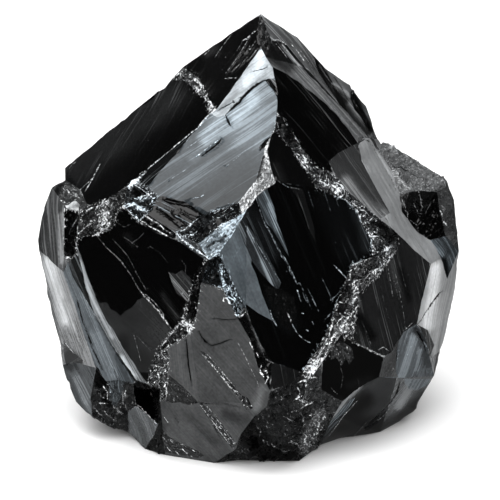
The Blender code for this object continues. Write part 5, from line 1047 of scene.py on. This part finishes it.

# Where a pane is lighter or darker than the rest, in its hackled grey and in painted sheen and reflection
# alike: the pane, the tone, the half-width in mm, and the points of the stroke as they are seen.
STROKES = [
    "back_high 0.46 3 -14,57.8 -16.8,53.8 -18,47.8", "back_high 0.2 2.5 -5.6,60.2 -4,55.8 -4.8,49.8",
    "back_high 0.42 2 -0.8,65.8 -2,57.8", "back_crest 0.5 2 2.4,73.8 8,65.8",
    "back_roof 0.18 3 -38,51.8 -22,65.8 -10,73.8", "back_right_high 0.22 2.5 12,70.6 20,63 24.4,55.8",
    "low_middle 0.36 2.5 -16,35.8 -14,23.8", "low_middle 0.14 3 2.4,25.8 -2,23.8",
    "back_left 0.36 2 -26.8,45.8 -22,53.8", "back_left 0.14 2.5 -34.8,35.8 -28,38.6",
    "back_side 0.62 2 -39.6,35.8 -36,43.8", "low_edge 0.75 2 34.8,27.8 32.8,17.8",
    "low_side 0.5 2 -40,29.8 -37.6,19.8", "back_right 0.34 2 28,47.8 29.2,37.8",
    "back_edge 0.5 1.5 34,43.8 35.2,33.8", "back_left_seam 0.7 1 -19.6,48.8 -20.8,42.8",
    "back_left_seam 0.12 1 -23.6,33.8 -24,28.8", "back_left_seam 0.12 1 -16.8,58.2 -18,54.8",
    "back_right_seam 0.7 1 19.2,44.8 18.4,38.8", "back_right_seam 0.1 1 16,31.4 15.2,26.8",
    "belly 0.14 2.5 -16,38.8 -10,35.8", "back_middle 0.12 2.5 16,57.8 18,47.8",
    "low_left 0.2 2 -34.4,17.8 -28,19.4", "under_left 0.45 2 -28,7.8 -26,3.8",
    "roof 0.17 4 -34.4,50.8 -26,57.4 -16.4,64.6", "roof 0.05 4 -20.4,47.8 -10.8,58.2",
    "upper_roof 0.2 1 -9,73.4 -7.2,74.2", "silver 0.5 3.6 2,65 1.2,61.4 -2.4,57.8",
    "silver 0.66 1.4 0.4,64.2 -0.8,62.6 -2.8,60.8", "silver 0.44 2 4.6,63.8 4.4,59.8 1.6,56.2",
    "silver 0.58 1.4 -5.6,60.2 -7,58.4 -9,56.2", "silver 0.42 0.7 -7,55.4 -9,53.6 -11.6,52",
    "silver 0.22 3 -10.8,43 -4.4,45 0,47.4", "silver_top 0.75 0.9 2.4,73 1.6,69.8 -0.8,67.4",
    "silver_top 0.48 0.6 -2.8,65.4 -5.6,62.2", "slate 0.3 0.8 -17.4,42.6 -14.8,40.6 -12.8,39",
    "crushed_ground 0.6 1.2 -28.2,43.2 -29,40.6 -29.4,38.2", "block_top 0.15 0.6 -38.8,45.4 -37.8,46.4",
    "block_front 0.5 0.5 -37.8,40.8 -37.6,35.8 -37.4,31.4", "block_front 0.25 0.6 -41.2,40.8 -41.6,35.8",
    "slot_right 0.6 0.6 -36.4,32.2 -36.6,29.4", "left_pane 0.74 1.2 -40,31.4 -38.4,25.4 -36.8,19.8",
    "left_pane 0.36 0.5 -41.2,27.4 -39.6,20.8 -38,14.8", "left_pane 0.6 0.5 -37.2,23.8 -35.2,17.8",
    "left_pane 0.3 0.8 -36.8,13.8 -34.8,12.2", "lower_left 0.2 1 -37.2,11.4 -35.6,10.6",
    "lower_left 0.42 1 -34.4,7.8 -32.4,3.8", "left_slope 0.44 1 -31,16.8 -27.2,9",
    "left_bevel 0.62 0.4 -34.2,31.4 -31.6,23.8 -27.6,16.2", "left_bevel 0.7 0.5 -25.6,12.2 -23.2,8.6",
    "left_bevel 0.25 0.4 -28,14.2 -24.8,9.4", "lower_seam 0.64 1.2 18.8,18.2 16,14.8 12.4,10",
    "lower_seam 0.6 0.7 12.4,7.8 9.6,5.4 12,3.4", "lower_seam 0.66 0.6 21,27 20.8,23.8",
    "lower_seam 0.2 1 18.8,26.6 18,21.4", "lower_seam 0.62 0.4 24.4,28.6 27.8,33.4",
    "shoulder_seam 0.6 0.5 24.2,37 24.2,33.8", "shoulder_seam 0.65 0.6 27.2,33.8 28.4,34.6",
    "shoulder_seam 0.12 1 26,39.4 27.6,36.6", "upper_seam 0.12 1 6,60.2 8.4,55.8",
    "upper_seam 0.55 0.5 10.6,52.4 11.6,51", "upper_seam 0.6 0.8 14.4,47.8 18.4,45.4",
    "upper_seam 0.75 0.4 20,43.4 22.4,41.8", "upper_seam 0.2 1 19.2,44.6 20,42.6",
    "right_seam 0.15 1.5 -8.6,31.4 -6.8,27.8", "right_seam 0.62 0.4 -5.8,30.6 -5.4,27.4",
    "right_seam 0.62 1.2 -4.4,25.8 -2,23.4", "right_seam 0.7 0.6 -2.4,20.6 -1,21.2",
    "middle_seam 0.08 0.9 -10.4,27 -11,23.8 -11.8,21.8", "middle_seam 0.1 0.8 -10,31.4 -10.4,27.8",
    "middle_seam 0.6 0.8 -13.6,19.4 -12,18", "middle_seam 0.08 0.9 -16.8,14.6 -18.4,11.8",
    "middle_seam 0.5 0.8 -18.4,9.8 -17.2,7 -17,4.6", "knot_a 0.85 0.7 -24,46.6 -22.4,47.6",
    "knot_a 0.06 0.7 -23.8,44.6 -21.6,45.4", "knot_b 0.7 0.5 -24,42.6 -21.2,41.8",
    "knot_b 0.8 0.4 -22,44 -19,45", "rim 0.25 0.6 2.4,52.2 1.6,48.6",
    "rough_lap 0.4 0.25 -9,39 -5.6,40.6 -3.6,42.2", "rim_plate 0.25 0.3 -10,35.8 -7,38.2",
    "rim_plate 0.2 0.25 -8.4,34.2 -4.8,36.6", "rubble 0.4 0.4 -27.8,6.8 -27.4,4.8",
    "rubble 0.55 0.3 -26,6.2 -24.6,4.8", "rubble 0.05 0.5 -29.2,5 -28.4,3",
    "rubble 0.4 0.4 -27.2,3 -26.4,1.4", "mirrored_sheet 0.1 1.3 -25.6,15.8 -24.8,10.6",
    "mirrored_sheet 0.13 2 -21.8,11.4 -20.4,9", "mirrored_sheet 0.12 0.8 -29.2,18.8 -27.6,15.8",
    "black_left 0.14 0.5 -17.4,25 -14.4,20.2", "black_left 0.1 0.8 -24.6,36.6 -23.4,35",
    "centre 0.26 3 -9,25.8 -7.6,21.4", "centre 0.24 1.8 -8.8,17.8 -3.6,17.4",
    "centre 0.34 0.8 2.4,6.2 1.2,2.2", "foot_left 0.24 1 -16.8,3 -12,0.2 -7.2,-4.2",
    "foot_left 0.2 1 -5,0.8 -0.8,-0.2", "foot_front 0.5 1.6 14.4,1.4 12.4,-2.2 11,-6.6",
    "foot_front 0.07 2 0,-2.2 2.4,-6.6 8,-7.2", "foot_front 0.25 1.5 10,2.8 13,3.4",
    "big_right 0.13 2.4 -0.8,41 2.4,37.4 4.4,33.8", "slate_wedge 0.26 1 2.4,31.4 1.6,28.6",
    "slate_band 0.4 0.5 -0.6,38.6 0.8,35.8", "slate_band 0.38 0.7 2.4,31.4 4.8,27.6",
    "bright_band 0.44 0.5 3.6,42.6 5.2,37.8", "big_right 0.09 3 16,43.8 19,36.8 20,33.8",
    "big_right 0.1 2 5,23.8 8,18.8", "black_low 0.12 1.4 15.6,3.8 18,3", "black_low 0.1 1 20,6.8 24,7.8",
    "dark_cleft 0.36 0.5 -0.8,22.8 0.8,18.8 2.4,13.8", "small_dark 0.18 0.8 5.2,50.8 6.4,47.8",
    "black_right 0.15 2.2 13.2,61.8 16.4,57.8 19.2,54.2", "black_right 0.11 2 8,66.8 14,62.8",
    "light_band 0.38 0.7 8,69 12,66.2 16,62.6 20.4,57", "light_band 0.2 1.2 4.4,72.2 7.6,70.6",
    "dark_band 0.5 0.25 6.4,74.8 8.4,72.2 10,70.6",
    "outer_band 0.42 0.5 8.8,73.8 13.4,68.2 17,63.6 20.4,59.4",
    "outer_band 0.12 0.6 14,70.6 16,67 19,63.6", "outer_band 0.15 0.7 18.4,63 20.4,60.2 23.2,57.2",
    "outer_band 0.05 0.5 20.6,65 22,62.2 24.2,57.8",
    "grey_inner 0.44 1.3 19.4,47.4 21.6,44.6 24.4,42 26.8,40.2", "shoulder 0.6 0.25 27.8,54.2 28.8,53.4",
    "shoulder 0.62 0.3 29.4,48.6 30.6,47.2 31.8,46.2", "shoulder_strip 0.35 1 39.6,35.8 40,33.8",
    "blue_patch 0.44 0.7 36.8,35.2 38.4,33", "blue_patch 0.5 0.6 39.8,32.2 40.4,31",
    "blue_patch 0.1 0.5 38.8,31.8 39.4,28.8", "bright_right 0.86 1.2 37.2,30.2 36.4,23.8 35.6,18.8",
    "bright_right 0.4 1.2 35,11.8 36.4,9.4", "streaked_right 0.26 0.7 28.4,31.4 29.6,25.8",
    "streaked_right 0.08 1 22,20.2 24.4,16.6", "streaked_right 0.1 0.5 30.4,29.8 31.8,23.8",
    "big_right 0.18 1 21.4,41.4 22.6,37.8 23.2,34.2", "big_right 0.14 0.8 20.4,42.6 21.4,39.4",
    "grey_low_a 0.5 0.8 32.6,16.2 30.4,8.6", "grey_low_a 0.26 1 34.8,14.8 35.6,11.4",
    "grey_low_a 0.16 0.6 33.2,17.8 34.8,15.8", "grey_low_a 0.5 0.4 34,13.8 33.2,9.8",
    "grey_low_b 0.52 0.8 21.4,6.4 18.6,3.4 15.6,-1.4", "grey_low_b 0.06 1.6 20.4,1.4 23,3.8",
    "grey_low_b 0.07 2.4 19.2,-1.6 26.8,-1.8", "grey_low_c 0.16 1.6 34.8,3.8 31,0.8 27.2,-1.8",
    "grey_low_c 0.5 0.8 32,6.8 29.6,2.8",
]
# How soft the edge of a stroke is, in its half-widths, and how strongly a crushed seam is streaked.
STROKE_SOFTNESS = 0.75
SEAM_CONTRAST = 0.8
SLIGHTLY_COOL = 0.2
# How far apart the panes are on the map of the streaks, so that no two have the same ones, in mm.
PANE_SHIFT = 17.0
# Added to the rise of an outline's side, so that a level one isn't divided by nothing.
NOT_ZERO = 1e-12
CRUSHED_PATCHES = {
    "foot_crumbs", "cloudy_patch", "dim_mottle", "back_knot", "foot_vein", "foot_specks", "centre_vein",
    "vein_knot",
}


def inside(places, outline):
    """Whether a line to the right of each place crosses an odd number of the outline's sides."""
    odd = np.zeros(len(places), bool)
    for (across_a, up_a), (across_b, up_b) in zip(outline, np.roll(outline, -1, axis=0)):
        spans = (up_a > places[:, 1]) != (up_b > places[:, 1])
        crossing = across_a + (places[:, 1] - up_a) / (up_b - up_a + NOT_ZERO) * (across_b - across_a)
        odd ^= spans & (places[:, 0] < crossing)
    return odd


finish_names = pane_names + list(PATCHES)
finish = pane.copy()
seen_middle = seen[triangles].mean(axis=1)
for number, (name, outline) in enumerate(patch_outlines.items()):
    host = pane_names.index(PATCHES[name].split()[0])
    finish[(pane == host) & inside(seen_middle, outline)] = pane_count + number
corner_finish = np.repeat(finish, 3)
corner_pane = np.repeat(pane, 3)
corner_point = triangles.ravel()
tone, streak, cool = np.zeros(len(corner_pane)), np.zeros(len(corner_pane)), np.zeros(len(corner_pane))
crushed, grain_map = np.zeros(len(corner_pane)), np.zeros((len(corner_pane), 2))
face_sides = flat[triangles[:, 1:]] - flat[triangles[:, :1]]
face_normals = np.cross(face_sides[:, 0], face_sides[:, 1])
for number, name in enumerate(finish_names):
    mine = corner_finish == number
    tone[mine], streak[mine], angle = FINISH.get(name, UNSEEN_FINISH)
    cool[mine] = COOL.get(name, SLIGHTLY_COOL)
    crushed[mine] = name in ROUGH_PANES or name in CRUSHED_PATCHES
    normal = face_normals[finish == number].sum(axis=0)
    normal /= np.linalg.norm(normal)
    # The streaks run along the pane in the direction that is seen at this angle.
    seen_way = np.cos(np.radians(angle)) * ACROSS + np.sin(np.radians(angle)) * LEANING_UP
    way = seen_way - SIGHT * (seen_way @ normal) / (SIGHT @ normal)
    way /= np.linalg.norm(way)
    grain_map[mine, 0] = flat[corner_point[mine]] @ way
    grain_map[mine, 1] = flat[corner_point[mine]] @ np.cross(normal, way) + PANE_SHIFT * number
for words in STROKES:
    name, stroke_tone, width, *stops = words.split()
    mine = corner_finish == finish_names.index(name)
    stops = np.array([np.fromstring(stop, sep=",") for stop in stops])
    gap, _ = distance_to_lines(seen[corner_point[mine]], stops[:-1], stops[1:])
    weight = np.clip((1 + STROKE_SOFTNESS - gap / float(width)) / (2 * STROKE_SOFTNESS), 0, 1)
    weight = weight**2 * (3 - 2 * weight)
    tone[mine] += weight * (float(stroke_tone) - tone[mine])
contrast = np.array([FINISH.get(name, UNSEEN_FINISH)[1] for name in pane_names])
in_seam = (is_rough & (contrast >= SEAM_CONTRAST)).astype(int)
seam_ends = coarse_points[pane_borders(coarse_triangles, in_seam[coarse_pane])]
from_seam, _ = distance_to_lines(flat, seam_ends[:, 0], seam_ends[:, 1])

# The stone itself: one piece of black volcanic glass. Its mesh carries what its material reads: the tone of
# each pane, hackled grey and painted sheen together, and its streaks, and how far each point lies from the
# lines and from the panes' borders.

# Where those distances stop counting: in half-widths of a line, and in mm from a border.
LINE_FADE = 12
BORDER_FADE = 3
mesh = bpy.data.meshes.new("obsidian_stone")
mesh.from_pydata((placed * MM).tolist(), [], triangles.tolist())
mesh.polygons.foreach_set("use_smooth", ~is_rough[pane])
# The glass is smooth within a pane and sharp where two panes meet.
ends = np.empty(len(mesh.edges) * 2, int)
mesh.edges.foreach_get("vertices", ends)
borders = np.sort(pane_borders(triangles, pane), axis=1) @ [len(placed), 1]
sharp = np.isin(np.sort(ends.reshape(-1, 2), axis=1) @ [len(placed), 1], borders)
mesh.attributes.new("sharp_edge", "BOOLEAN", "EDGE").data.foreach_set("value", sharp)
for name, domain, values in (
    ("frost_and_painted_sheen", "CORNER", tone), ("streaks", "CORNER", streak), ("crushed", "CORNER", crushed),
    ("cool", "CORNER", cool), ("vein_tone", "POINT", vein_tone),
    ("vein", "POINT", np.minimum(vein, LINE_FADE)),
    ("crack", "POINT", np.minimum(crack, LINE_FADE)),
    ("arris", "POINT", np.minimum(border, BORDER_FADE)),
    ("from_seam", "POINT", np.minimum(from_seam, BORDER_FADE)),
):
    mesh.attributes.new(name, "FLOAT", domain).data.foreach_set("value", values.astype(np.float32))
mesh.uv_layers.new(name="hackle").data.foreach_set("uv", grain_map.astype(np.float32).ravel())
stone = bpy.data.objects.new("obsidian_stone", mesh)
bpy.context.scene.collection.objects.link(stone)


def linear(colour):
    """An sRGB hex colour as linear light: ((c + 0.055) / 1.055) ** 2.4, or c / 12.92 in the dark."""
    parts = np.array([int(colour[i:i + 2], 16) for i in (1, 3, 5)]) / 255
    parts = np.where(parts > 0.04045, ((parts + 0.055) / 1.055) ** 2.4, parts / 12.92)
    return (*parts, 1.0)


def add(tree, kind, inputs=(), **settings):
    """Adds a node with its settings, and fills its inputs with values or with other nodes' outputs."""
    made = tree.nodes.new(kind)
    for name, value in settings.items():
        setattr(made, name, value)
    for socket, value in dict(inputs).items():
        if isinstance(value, bpy.types.NodeSocket):
            tree.links.new(value, made.inputs[socket])
        else:
            made.inputs[socket].default_value = value
    return made


# How the tone of the glass is worked out from what its mesh carries and from the textures. Each step has
# its result, its operation on the values before it, and its terms; a clamped result stays within 0 and 1.
# The numbers were matched to the glass.
GLASS_STEPS = [
    # Sound glass: its tone, hackled grey and painted sheen together, as hackle streaks, or as a plain veil
    # that is faintly mottled.
    ("broad", "MULTIPLY_ADD clamped", "coarse", 3.0, -1.0),
    ("narrow", "MULTIPLY_ADD clamped", "fine", 2.6, -0.8),
    ("level", "ADD", "broad", "narrow"),
    ("level", "MULTIPLY_ADD clamped", "level", 0.7, -0.2),
    ("covered", "ADD", "level", "frost_and_painted_sheen"),
    ("covered", "MULTIPLY_ADD clamped", "covered", 4.0, -3.5),
    ("brightest", "POWER", "frost_and_painted_sheen", 0.5),
    ("brightest", "MULTIPLY", "brightest", 0.95),
    ("covered", "MULTIPLY", "covered", "brightest"),
    ("plain", "MULTIPLY_ADD", "level", 0.14, 0.93),
    ("plain", "MULTIPLY", "plain", "frost_and_painted_sheen"),
    ("clouds", "MULTIPLY_ADD clamped", "cloud", 2.6, -0.8),
    ("grit", "MULTIPLY_ADD clamped", "dust", 2.4, -0.7),
    ("mottle", "MULTIPLY_ADD", "clouds", 0.2, 0.82),
    ("mottle", "MULTIPLY_ADD", "grit", 0.16, "mottle"),
    ("plain", "MULTIPLY", "plain", "mottle"),
    ("more", "SUBTRACT", "covered", "plain"),
    ("sound", "MULTIPLY_ADD", "streaks", "more", "plain"),
    # White powder, thick in the seams and frayed along their borders.
    ("patchy", "MULTIPLY_ADD clamped", "bent", 4.0, -1.5),
    ("patchy", "MULTIPLY", "patchy", 0.7),
    ("powder", "MULTIPLY_ADD", "shard_red", 0.3, "patchy"),
    ("powder", "MULTIPLY_ADD clamped", "powder", 1.25, -0.125),
    ("fray", "MULTIPLY_ADD clamped", "from_seam", -0.5, 0.52),
    ("cover", "MULTIPLY", "frost_and_painted_sheen", "crushed"),
    ("cover", "MAXIMUM", "cover", "fray"),
    ("cover", "POWER", "cover", 1.8),
    ("banks", "MULTIPLY_ADD clamped", "cloud", 5.0, -2.0),
    ("banks", "MULTIPLY_ADD", "banks", 0.9, 0.55),
    ("cover", "MULTIPLY", "cover", "banks"),
    ("powder", "ADD", "powder", "cover"),
    ("powder", "MULTIPLY_ADD clamped", "powder", 14.0, -14.0),
    # Crushed glass: shards with bright ridges under the powder, or a stony skin with dark creases.
    ("ridge", "SUBTRACT", "bent", 0.5),
    ("ridge", "ABSOLUTE", "ridge"),
    ("ridge", "MULTIPLY_ADD clamped", "ridge", -70.0, 1.0),
    ("facets", "POWER", "shard_green", 2.0),
    ("bright_ridge", "MULTIPLY_ADD", "ridge", 0.8, 0.02),
    ("facets", "MULTIPLY_ADD", "facets", 0.6, "bright_ridge"),
    ("facets", "MULTIPLY", "facets", "frost_and_painted_sheen"),
    ("white", "MULTIPLY", "powder", 0.95),
    ("seamed", "MAXIMUM", "facets", "white"),
    ("stony", "MULTIPLY_ADD clamped", "bent", 3.0, -1.0),
    ("stony", "MULTIPLY_ADD", "stony", 0.5, 0.75),
    ("stony", "MULTIPLY", "stony", "frost_and_painted_sheen"),
    ("creases", "MULTIPLY_ADD", "ridge", -0.8, 1.0),
    ("stony", "MULTIPLY", "stony", "creases"),
    ("more", "SUBTRACT", "seamed", "stony"),
    ("broken", "MULTIPLY_ADD", "streaks", "more", "stony"),
    ("dusted", "MULTIPLY", "powder", 0.8),
    ("sound", "MAXIMUM", "sound", "dusted"),
    ("more", "SUBTRACT", "broken", "sound"),
    ("tone", "MULTIPLY_ADD", "crushed", "more", "sound"),
    # A few pinprick chips over the clean glass.
    ("few", "GREATER_THAN", "prick_red", 0.68),
    ("prick", "MULTIPLY_ADD clamped", "prick", -9.0, 0.75),
    ("prick", "MULTIPLY", "prick", "few"),
    ("glint", "MULTIPLY_ADD clamped", "dust", 3.0, -1.0),
    ("glint", "MULTIPLY_ADD", "glint", 0.6, 0.08),
    ("prick", "MULTIPLY", "prick", "glint"),
    ("tone", "MAXIMUM", "tone", "prick"),
    # Crumbling veins, ragged cracks, and pale arrises in places: partly wear and chips, partly painted
    # highlight along the edges.
    ("crumbs", "MULTIPLY_ADD clamped", "dust", 2.6, -0.8),
    ("crumbs", "MULTIPLY_ADD", "crumbs", 1.5, "vein"),
    ("vein", "MULTIPLY_ADD clamped", "crumbs", -2.0, 3.7),
    ("specks", "MULTIPLY_ADD clamped", "speck", 3.4, -1.2),
    ("specks", "ADD", "specks", 0.22),
    ("specks", "MULTIPLY", "specks", "vein_tone"),
    ("pale", "MULTIPLY", "vein", "specks"),
    ("ragged", "MULTIPLY_ADD", "dust", 1.6, -0.8),
    ("wear_and_painted_highlight", "MULTIPLY_ADD", "ragged", 0.35, "arris"),
    ("wear_and_painted_highlight", "MULTIPLY_ADD clamped", "wear_and_painted_highlight", -6.0, 1.0),
    ("wear_and_highlight_stretches", "MULTIPLY_ADD clamped", "cloud", 5.0, -2.3),
    ("wear_and_painted_highlight", "MULTIPLY", "wear_and_painted_highlight", "wear_and_highlight_stretches"),
    ("wear_and_painted_highlight", "MULTIPLY", "wear_and_painted_highlight", 0.6),
    ("pale", "MAXIMUM", "pale", "wear_and_painted_highlight"),
    ("tone", "MAXIMUM", "tone", "pale"),
    ("crack", "ADD", "crack", "ragged"),
    ("crack", "MULTIPLY_ADD clamped", "crack", -2.0, 2.2),
    ("shut", "SUBTRACT", 1.0, "crack"),
    ("tone", "MULTIPLY", "tone", "shut"),
    # What the shader is given: how light the glass is, how rough, and its finest relief.
    ("light", "MINIMUM", "tone", 0.97),
    ("light", "POWER", "light", 2.2),
    ("haze", "MINIMUM", "tone", 1.0),
    ("haze", "MULTIPLY_ADD", "haze", 0.45, 0.09),
    ("crack_haze", "MULTIPLY", "crack", 0.9),
    ("haze", "MAXIMUM", "haze", "crack_haze"),
    ("relief", "MULTIPLY", "fine", "streaks"),
    ("gravel", "MULTIPLY", "dust", "crushed"),
    ("relief", "MULTIPLY_ADD", "gravel", 1.5, "relief"),
]
# Hackle steps lie 0.25 to 1 mm apart and run 10 to 30 mm. Shards are 0.5 to 2 mm long and lie along the
# seam. Dust is 0.5 mm, specks 0.3 mm and clouds 6 mm across, and pinprick chips lie 2.4 mm apart. Real dust
# and specks are under 0.1 mm: they are drawn as coarse as they need to be to show.
COARSE_STEPS, FINE_STEPS, SHARD_SHAPE = (0.035, 0.8, 1), (0.06, 3.6, 1), (1.2, 2.1, 1)
DUST_PER_M, SPECKS_PER_M, CLOUDS_PER_M, PRICKS_PER_M = 1800, 2900, 160, 420
# The white that the tone mixes in stands for hackled grey and for painted sheen and reflection alike.
CLEAR_GLASS, FROST_AND_SHEEN_WHITE, PAINTED_COOL_TINT = "#020202", "#f6f6f6", "#daebf7"
OBSIDIAN_IOR = 1.5
FINEST_RELIEF = 0.0002
# The sockets of a Mix node that take its two colours.
FIRST_COLOUR, SECOND_COLOUR = 6, 7


def volcanic_glass():
    """Black obsidian: clear black glass where it broke clean, grey where it is hackled and where sheen and
    reflection are painted in.
    """
    material = bpy.data.materials.new("broken_obsidian")
    material.use_nodes = True
    tree = material.node_tree
    shader = tree.nodes["Principled BSDF"]
    known = {}
    for name in ("frost_and_painted_sheen", "streaks", "crushed", "cool", "vein", "vein_tone", "crack", "arris", "from_seam"):
        known[name] = add(tree, "ShaderNodeAttribute", attribute_name=name).outputs["Fac"]
    grain = add(tree, "ShaderNodeUVMap", uv_map="hackle").outputs[0]
    place = add(tree, "ShaderNodeTexCoord").outputs["Object"]
    for name, shape, settings in (
        ("coarse", COARSE_STEPS, {"Scale": 1, "Detail": 3, "Distortion": 0.15}),
        ("fine", FINE_STEPS, {"Scale": 1, "Detail": 2}),
    ):
        along = add(tree, "ShaderNodeMapping", {"Vector": grain, "Scale": shape}).outputs[0]
        known[name] = add(tree, "ShaderNodeTexNoise", {"Vector": along, **settings}).outputs[0]
    for name, scale, detail in (
        ("dust", DUST_PER_M, 2), ("speck", SPECKS_PER_M, 1), ("cloud", CLOUDS_PER_M, 3),
    ):
        noise = add(tree, "ShaderNodeTexNoise", {"Vector": place, "Scale": scale, "Detail": detail})
        known[name] = noise.outputs[0]
    shard_place = add(tree, "ShaderNodeMapping", {"Vector": grain, "Scale": SHARD_SHAPE}).outputs[0]
    rough_noise = {"Vector": shard_place, "Scale": 1.3, "Detail": 6, "Roughness": 0.78}
    bent = add(tree, "ShaderNodeTexNoise", rough_noise).outputs
    known["bent"] = bent[0]
    shift = {0: shard_place, 1: bent["Color"]}
    bent_place = add(tree, "ShaderNodeVectorMath", shift, operation="ADD").outputs[0]
    shard_cells = {"Vector": bent_place, "Scale": 1.6}
    shards = add(tree, "ShaderNodeTexVoronoi", shard_cells, voronoi_dimensions="2D").outputs
    shard_colour = add(tree, "ShaderNodeSeparateColor", {0: shards["Color"]}).outputs
    known["shard_red"], known["shard_green"] = shard_colour[0], shard_colour[1]
    prick = add(tree, "ShaderNodeTexVoronoi", {"Vector": place, "Scale": PRICKS_PER_M}).outputs
    known["prick"] = prick["Distance"]
    known["prick_red"] = add(tree, "ShaderNodeSeparateColor", {0: prick["Color"]}).outputs[0]
    for result, operation, *terms in GLASS_STEPS:
        operation, *clamped = operation.split()
        inputs = {socket: known.get(term, term) for socket, term in enumerate(terms)}
        step = add(tree, "ShaderNodeMath", inputs, operation=operation, use_clamp=bool(clamped))
        known[result] = step.outputs[0]
    # The bluish white mixed in by the cool attribute is a painted reflection of cool light.
    tints = {0: known["cool"], FIRST_COLOUR: linear(FROST_AND_SHEEN_WHITE), SECOND_COLOUR: linear(PAINTED_COOL_TINT)}
    frost_and_sheen_colour = add(tree, "ShaderNodeMix", tints, data_type="RGBA").outputs[2]
    tints = {0: known["light"], FIRST_COLOUR: linear(CLEAR_GLASS), SECOND_COLOUR: frost_and_sheen_colour}
    colour = add(tree, "ShaderNodeMix", tints, data_type="RGBA").outputs[2]
    finest = {"Strength": 0.25, "Distance": FINEST_RELIEF, "Height": known["relief"]}
    bump = add(tree, "ShaderNodeBump", finest).outputs[0]
    for socket, source in (("Base Color", colour), ("Roughness", known["haze"]), ("Normal", bump)):
        tree.links.new(source, shader.inputs[socket])
    shader.inputs["IOR"].default_value = OBSIDIAN_IOR
    shader.inputs["Metallic"].default_value = 0.0
    return material


mesh.materials.append(volcanic_glass())
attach(stone, "root")
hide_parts("obsidian_chunk")

# The floor it stands on: a broad, smooth sheet of matt white. It has no gloss, so that nothing shows in
# it but the soft shadow of the stone.

FLOOR_RADIUS = 2.5
FLOOR_SIDES = 96
NEAR_SHARE = 0.05
turn = np.linspace(0, 2 * np.pi, FLOOR_SIDES, endpoint=False)
floor_rim = np.column_stack([np.cos(turn), np.sin(turn), np.zeros(len(turn))]) * FLOOR_RADIUS
floor_mesh = bpy.data.meshes.new("floor")
floor_mesh.from_pydata(floor_rim.tolist(), [], [list(range(FLOOR_SIDES))])
floor = bpy.data.objects.new("floor", floor_mesh)
bpy.context.scene.collection.objects.link(floor)
floor_material = bpy.data.materials.new("matt_white_sheet")
floor_material.use_nodes = True
floor_shader = floor_material.node_tree.nodes["Principled BSDF"]
floor_shader.inputs["Base Color"].default_value = linear("#f4f4f4")
floor_shader.inputs["Roughness"].default_value = 0.9
floor_shader.inputs["Specular IOR Level"].default_value = 0.0
floor_mesh.materials.append(floor_material)
floor.visible_glossy = False

# The same white sheet, close round the stone: it is what the glass mirrors in place of the whole floor,
# because round a real stone on a table the light soon falls away.

near_mesh = bpy.data.meshes.new("near_floor")
near_mesh.from_pydata((floor_rim * NEAR_SHARE).tolist(), [], [list(range(FLOOR_SIDES))])
near_mesh.materials.append(floor_material)
near_floor = bpy.data.objects.new("near_floor", near_mesh)
bpy.context.scene.collection.objects.link(near_floor)
near_floor.visible_camera = False
near_floor.visible_diffuse = False
near_floor.visible_shadow = False

# Soft studio light: two broad panels that the glass doesn't mirror, in front and overhead, a small softbox
# over the stone that it does, and a room that is dark to the glass but reads as a white backdrop.


def panel(name, place, aim, size, power, in_gloss=True):
    """A square area light at one place, facing another, both in metres."""
    lamp = bpy.data.lights.new(name, "AREA")
    lamp.shape = "SQUARE"
    lamp.size = size
    lamp.energy = power
    made = bpy.data.objects.new(name, lamp)
    made.location = place
    made.rotation_euler = (Vector(aim) - Vector(place)).to_track_quat("-Z", "Y").to_euler()
    made.visible_camera = False
    made.visible_glossy = in_gloss
    bpy.context.scene.collection.objects.link(made)


panel("front_fill", (-0.3, -1.25, 1.3), aim=(0, 0, 0), size=2.2, power=66, in_gloss=False)
panel("overhead_fill", (0, 0.2, 1.6), aim=(0, 0, 0), size=2.4, power=26, in_gloss=False)
panel("overhead_softbox", (-0.12, -0.02, 0.7), aim=(0, 0, 0.04), size=0.45, power=1.3)

ROOM_LIGHT, ROOM_IN_GLOSS = 0.08, 0.01
world = bpy.data.worlds.new("studio")
bpy.context.scene.world = world
world.use_nodes = True
sky = world.node_tree
sky.nodes.clear()
path = add(sky, "ShaderNodeLightPath").outputs
less_in_gloss = {0: path["Is Glossy Ray"], 1: ROOM_IN_GLOSS - ROOM_LIGHT, 2: ROOM_LIGHT}
unlit = add(sky, "ShaderNodeMath", less_in_gloss, operation="MULTIPLY_ADD").outputs[0]
room = add(sky, "ShaderNodeBackground", {"Color": (1, 1, 1, 1), "Strength": unlit}).outputs[0]
backdrop = add(sky, "ShaderNodeBackground", {"Color": (1, 1, 1, 1), "Strength": 1.0}).outputs[0]
mixed = add(sky, "ShaderNodeMixShader", {0: path["Is Camera Ray"], 1: room, 2: backdrop}).outputs[0]
add(sky, "ShaderNodeOutputWorld", {"Surface": mixed})
bpy.context.scene.view_settings.view_transform = "Standard"

# The camera stands at the station that the stone was surveyed from, a little to the side of the middle of
# the frame, and looks down its line of sight.

camera_data = bpy.data.cameras.new("camera")
camera_data.sensor_width = 36.0
camera_data.lens = 216.0
camera_data.clip_start = 0.01
camera = bpy.data.objects.new("camera", camera_data)
camera.location = Vector((STATION - middle) * MM)
camera.rotation_euler = (np.pi / 2 - STATION_RISE, 0, 0)
bpy.context.scene.collection.objects.link(camera)
bpy.context.scene.camera = camera
